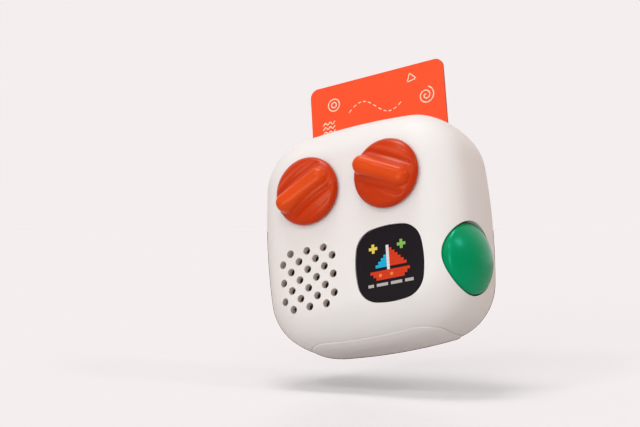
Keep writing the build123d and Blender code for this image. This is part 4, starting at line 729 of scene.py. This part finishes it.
def area_light(name, direction, size, power):
    """Square soft lamp that looks at the middle of the body."""
    data = bpy.data.lights.new(name, "AREA")
    data.size = size
    data.energy = power
    data.color = LAMP_COLOUR
    light = bpy.data.objects.new(name, data)
    towards = Vector(direction).normalized()
    light.location = Vector(BODY_MIDDLE) * MM + towards * LAMP_DISTANCE
    light.rotation_mode = "QUATERNION"
    light.rotation_quaternion = towards.to_track_quat("Z", "Y")
    bpy.context.scene.collection.objects.link(light)


def camera_direction(right, up, back):
    """Direction in the row frame from parts along the camera's own axes."""
    r, b = Vector(CAMERA_RIGHT), Vector(CAMERA_BACK)
    return r * right + b.cross(r) * up + b * back


def make_world():
    """Warm ambient light. Rays from the camera, through clear pieces and off
    glossy ones see the pale backdrop instead. For glossy rays it is dimmer on
    the camera's own side of the studio."""
    world = bpy.data.worlds.new("studio")
    bpy.context.scene.world = world
    world.use_nodes = True
    tree = world.node_tree
    tree.nodes.clear()
    ray = add(tree, "ShaderNodeLightPath").outputs
    seen = operate(tree, "MAXIMUM", ray["Is Camera Ray"], ray["Is Transmission Ray"])["Value"]
    seen = operate(tree, "MAXIMUM", seen, ray["Is Glossy Ray"])["Value"]
    towards = add(tree, "ShaderNodeTexCoord").outputs["Generated"]
    sight = -Vector(CAMERA_BACK)
    ahead = operate(tree, "DOT_PRODUCT", towards, sight, kind="ShaderNodeVectorMath")["Value"]
    missing = remap(tree, ahead, STUDIO_FADE, (1.0 - STUDIO_FRONT, 0.0))
    missing = operate(tree, "MULTIPLY", missing, ray["Is Glossy Ray"])["Value"]
    strength = operate(tree, "SUBTRACT", 1.0, missing)["Value"]
    ambient = add(
        tree, "ShaderNodeBackground", Color=(*AMBIENT, 1), Strength=AMBIENT_STRENGTH
    )
    backdrop = add(tree, "ShaderNodeBackground", Color=(*BACKDROP, 1), Strength=strength)
    mix = add(tree, "ShaderNodeMixShader", Fac=seen)
    tree.links.new(ambient.outputs["Background"], mix.inputs[1])
    tree.links.new(backdrop.outputs["Background"], mix.inputs[2])
    output = add(tree, "ShaderNodeOutputWorld")
    tree.links.new(mix.outputs["Shader"], output.inputs["Surface"])


def make_light():
    """Cool lamps beside, above and behind, two small ones for the highlights of
    the knobs and the button, and the world."""
    for name, (direction, size, power) in LAMPS.items():
        area_light(name, camera_direction(*direction), size, power)
    make_world()
    bpy.context.scene.view_settings.view_transform = "Standard"


# ---------------------------------------------------------------- making

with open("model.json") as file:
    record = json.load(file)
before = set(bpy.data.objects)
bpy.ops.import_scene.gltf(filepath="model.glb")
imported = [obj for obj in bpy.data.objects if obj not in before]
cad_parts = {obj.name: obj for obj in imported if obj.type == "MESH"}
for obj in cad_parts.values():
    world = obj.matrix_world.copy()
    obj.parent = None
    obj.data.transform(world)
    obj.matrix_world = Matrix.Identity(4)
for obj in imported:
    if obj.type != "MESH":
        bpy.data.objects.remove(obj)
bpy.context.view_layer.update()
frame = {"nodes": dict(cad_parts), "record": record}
make_camera()
make_floor()
make_light()
finishes = dress_frame(frame)

knob_finish = knob_plastic()
for knob_side in POINTERS:
    knob = knob_piece(knob_side)
    knob.data.materials.append(knob_finish)
    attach(knob, knob_side + "_dial")
    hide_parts(knob_side + "_knob")

dome = dome_piece()
dome.data.materials.append(finishes["silicone"])
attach(dome, "body")
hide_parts("button_dome")
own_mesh(dome)

picture = pixel_tiles("picture", PICTURE, PICTURE_SIDE)
picture.data.materials.append(picture_light())
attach(picture, "body")

ink = moulded("card_ink", colour=(0.95, 0.72, 0.52), shade=(0.92, 0.68, 0.48), roughness=0.5)
for number, (line, width) in enumerate(card_print()):
    mark = stroke(f"card_mark_{number:02d}", line, width)
    mark.data.materials.append(ink)
    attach(mark, "card")
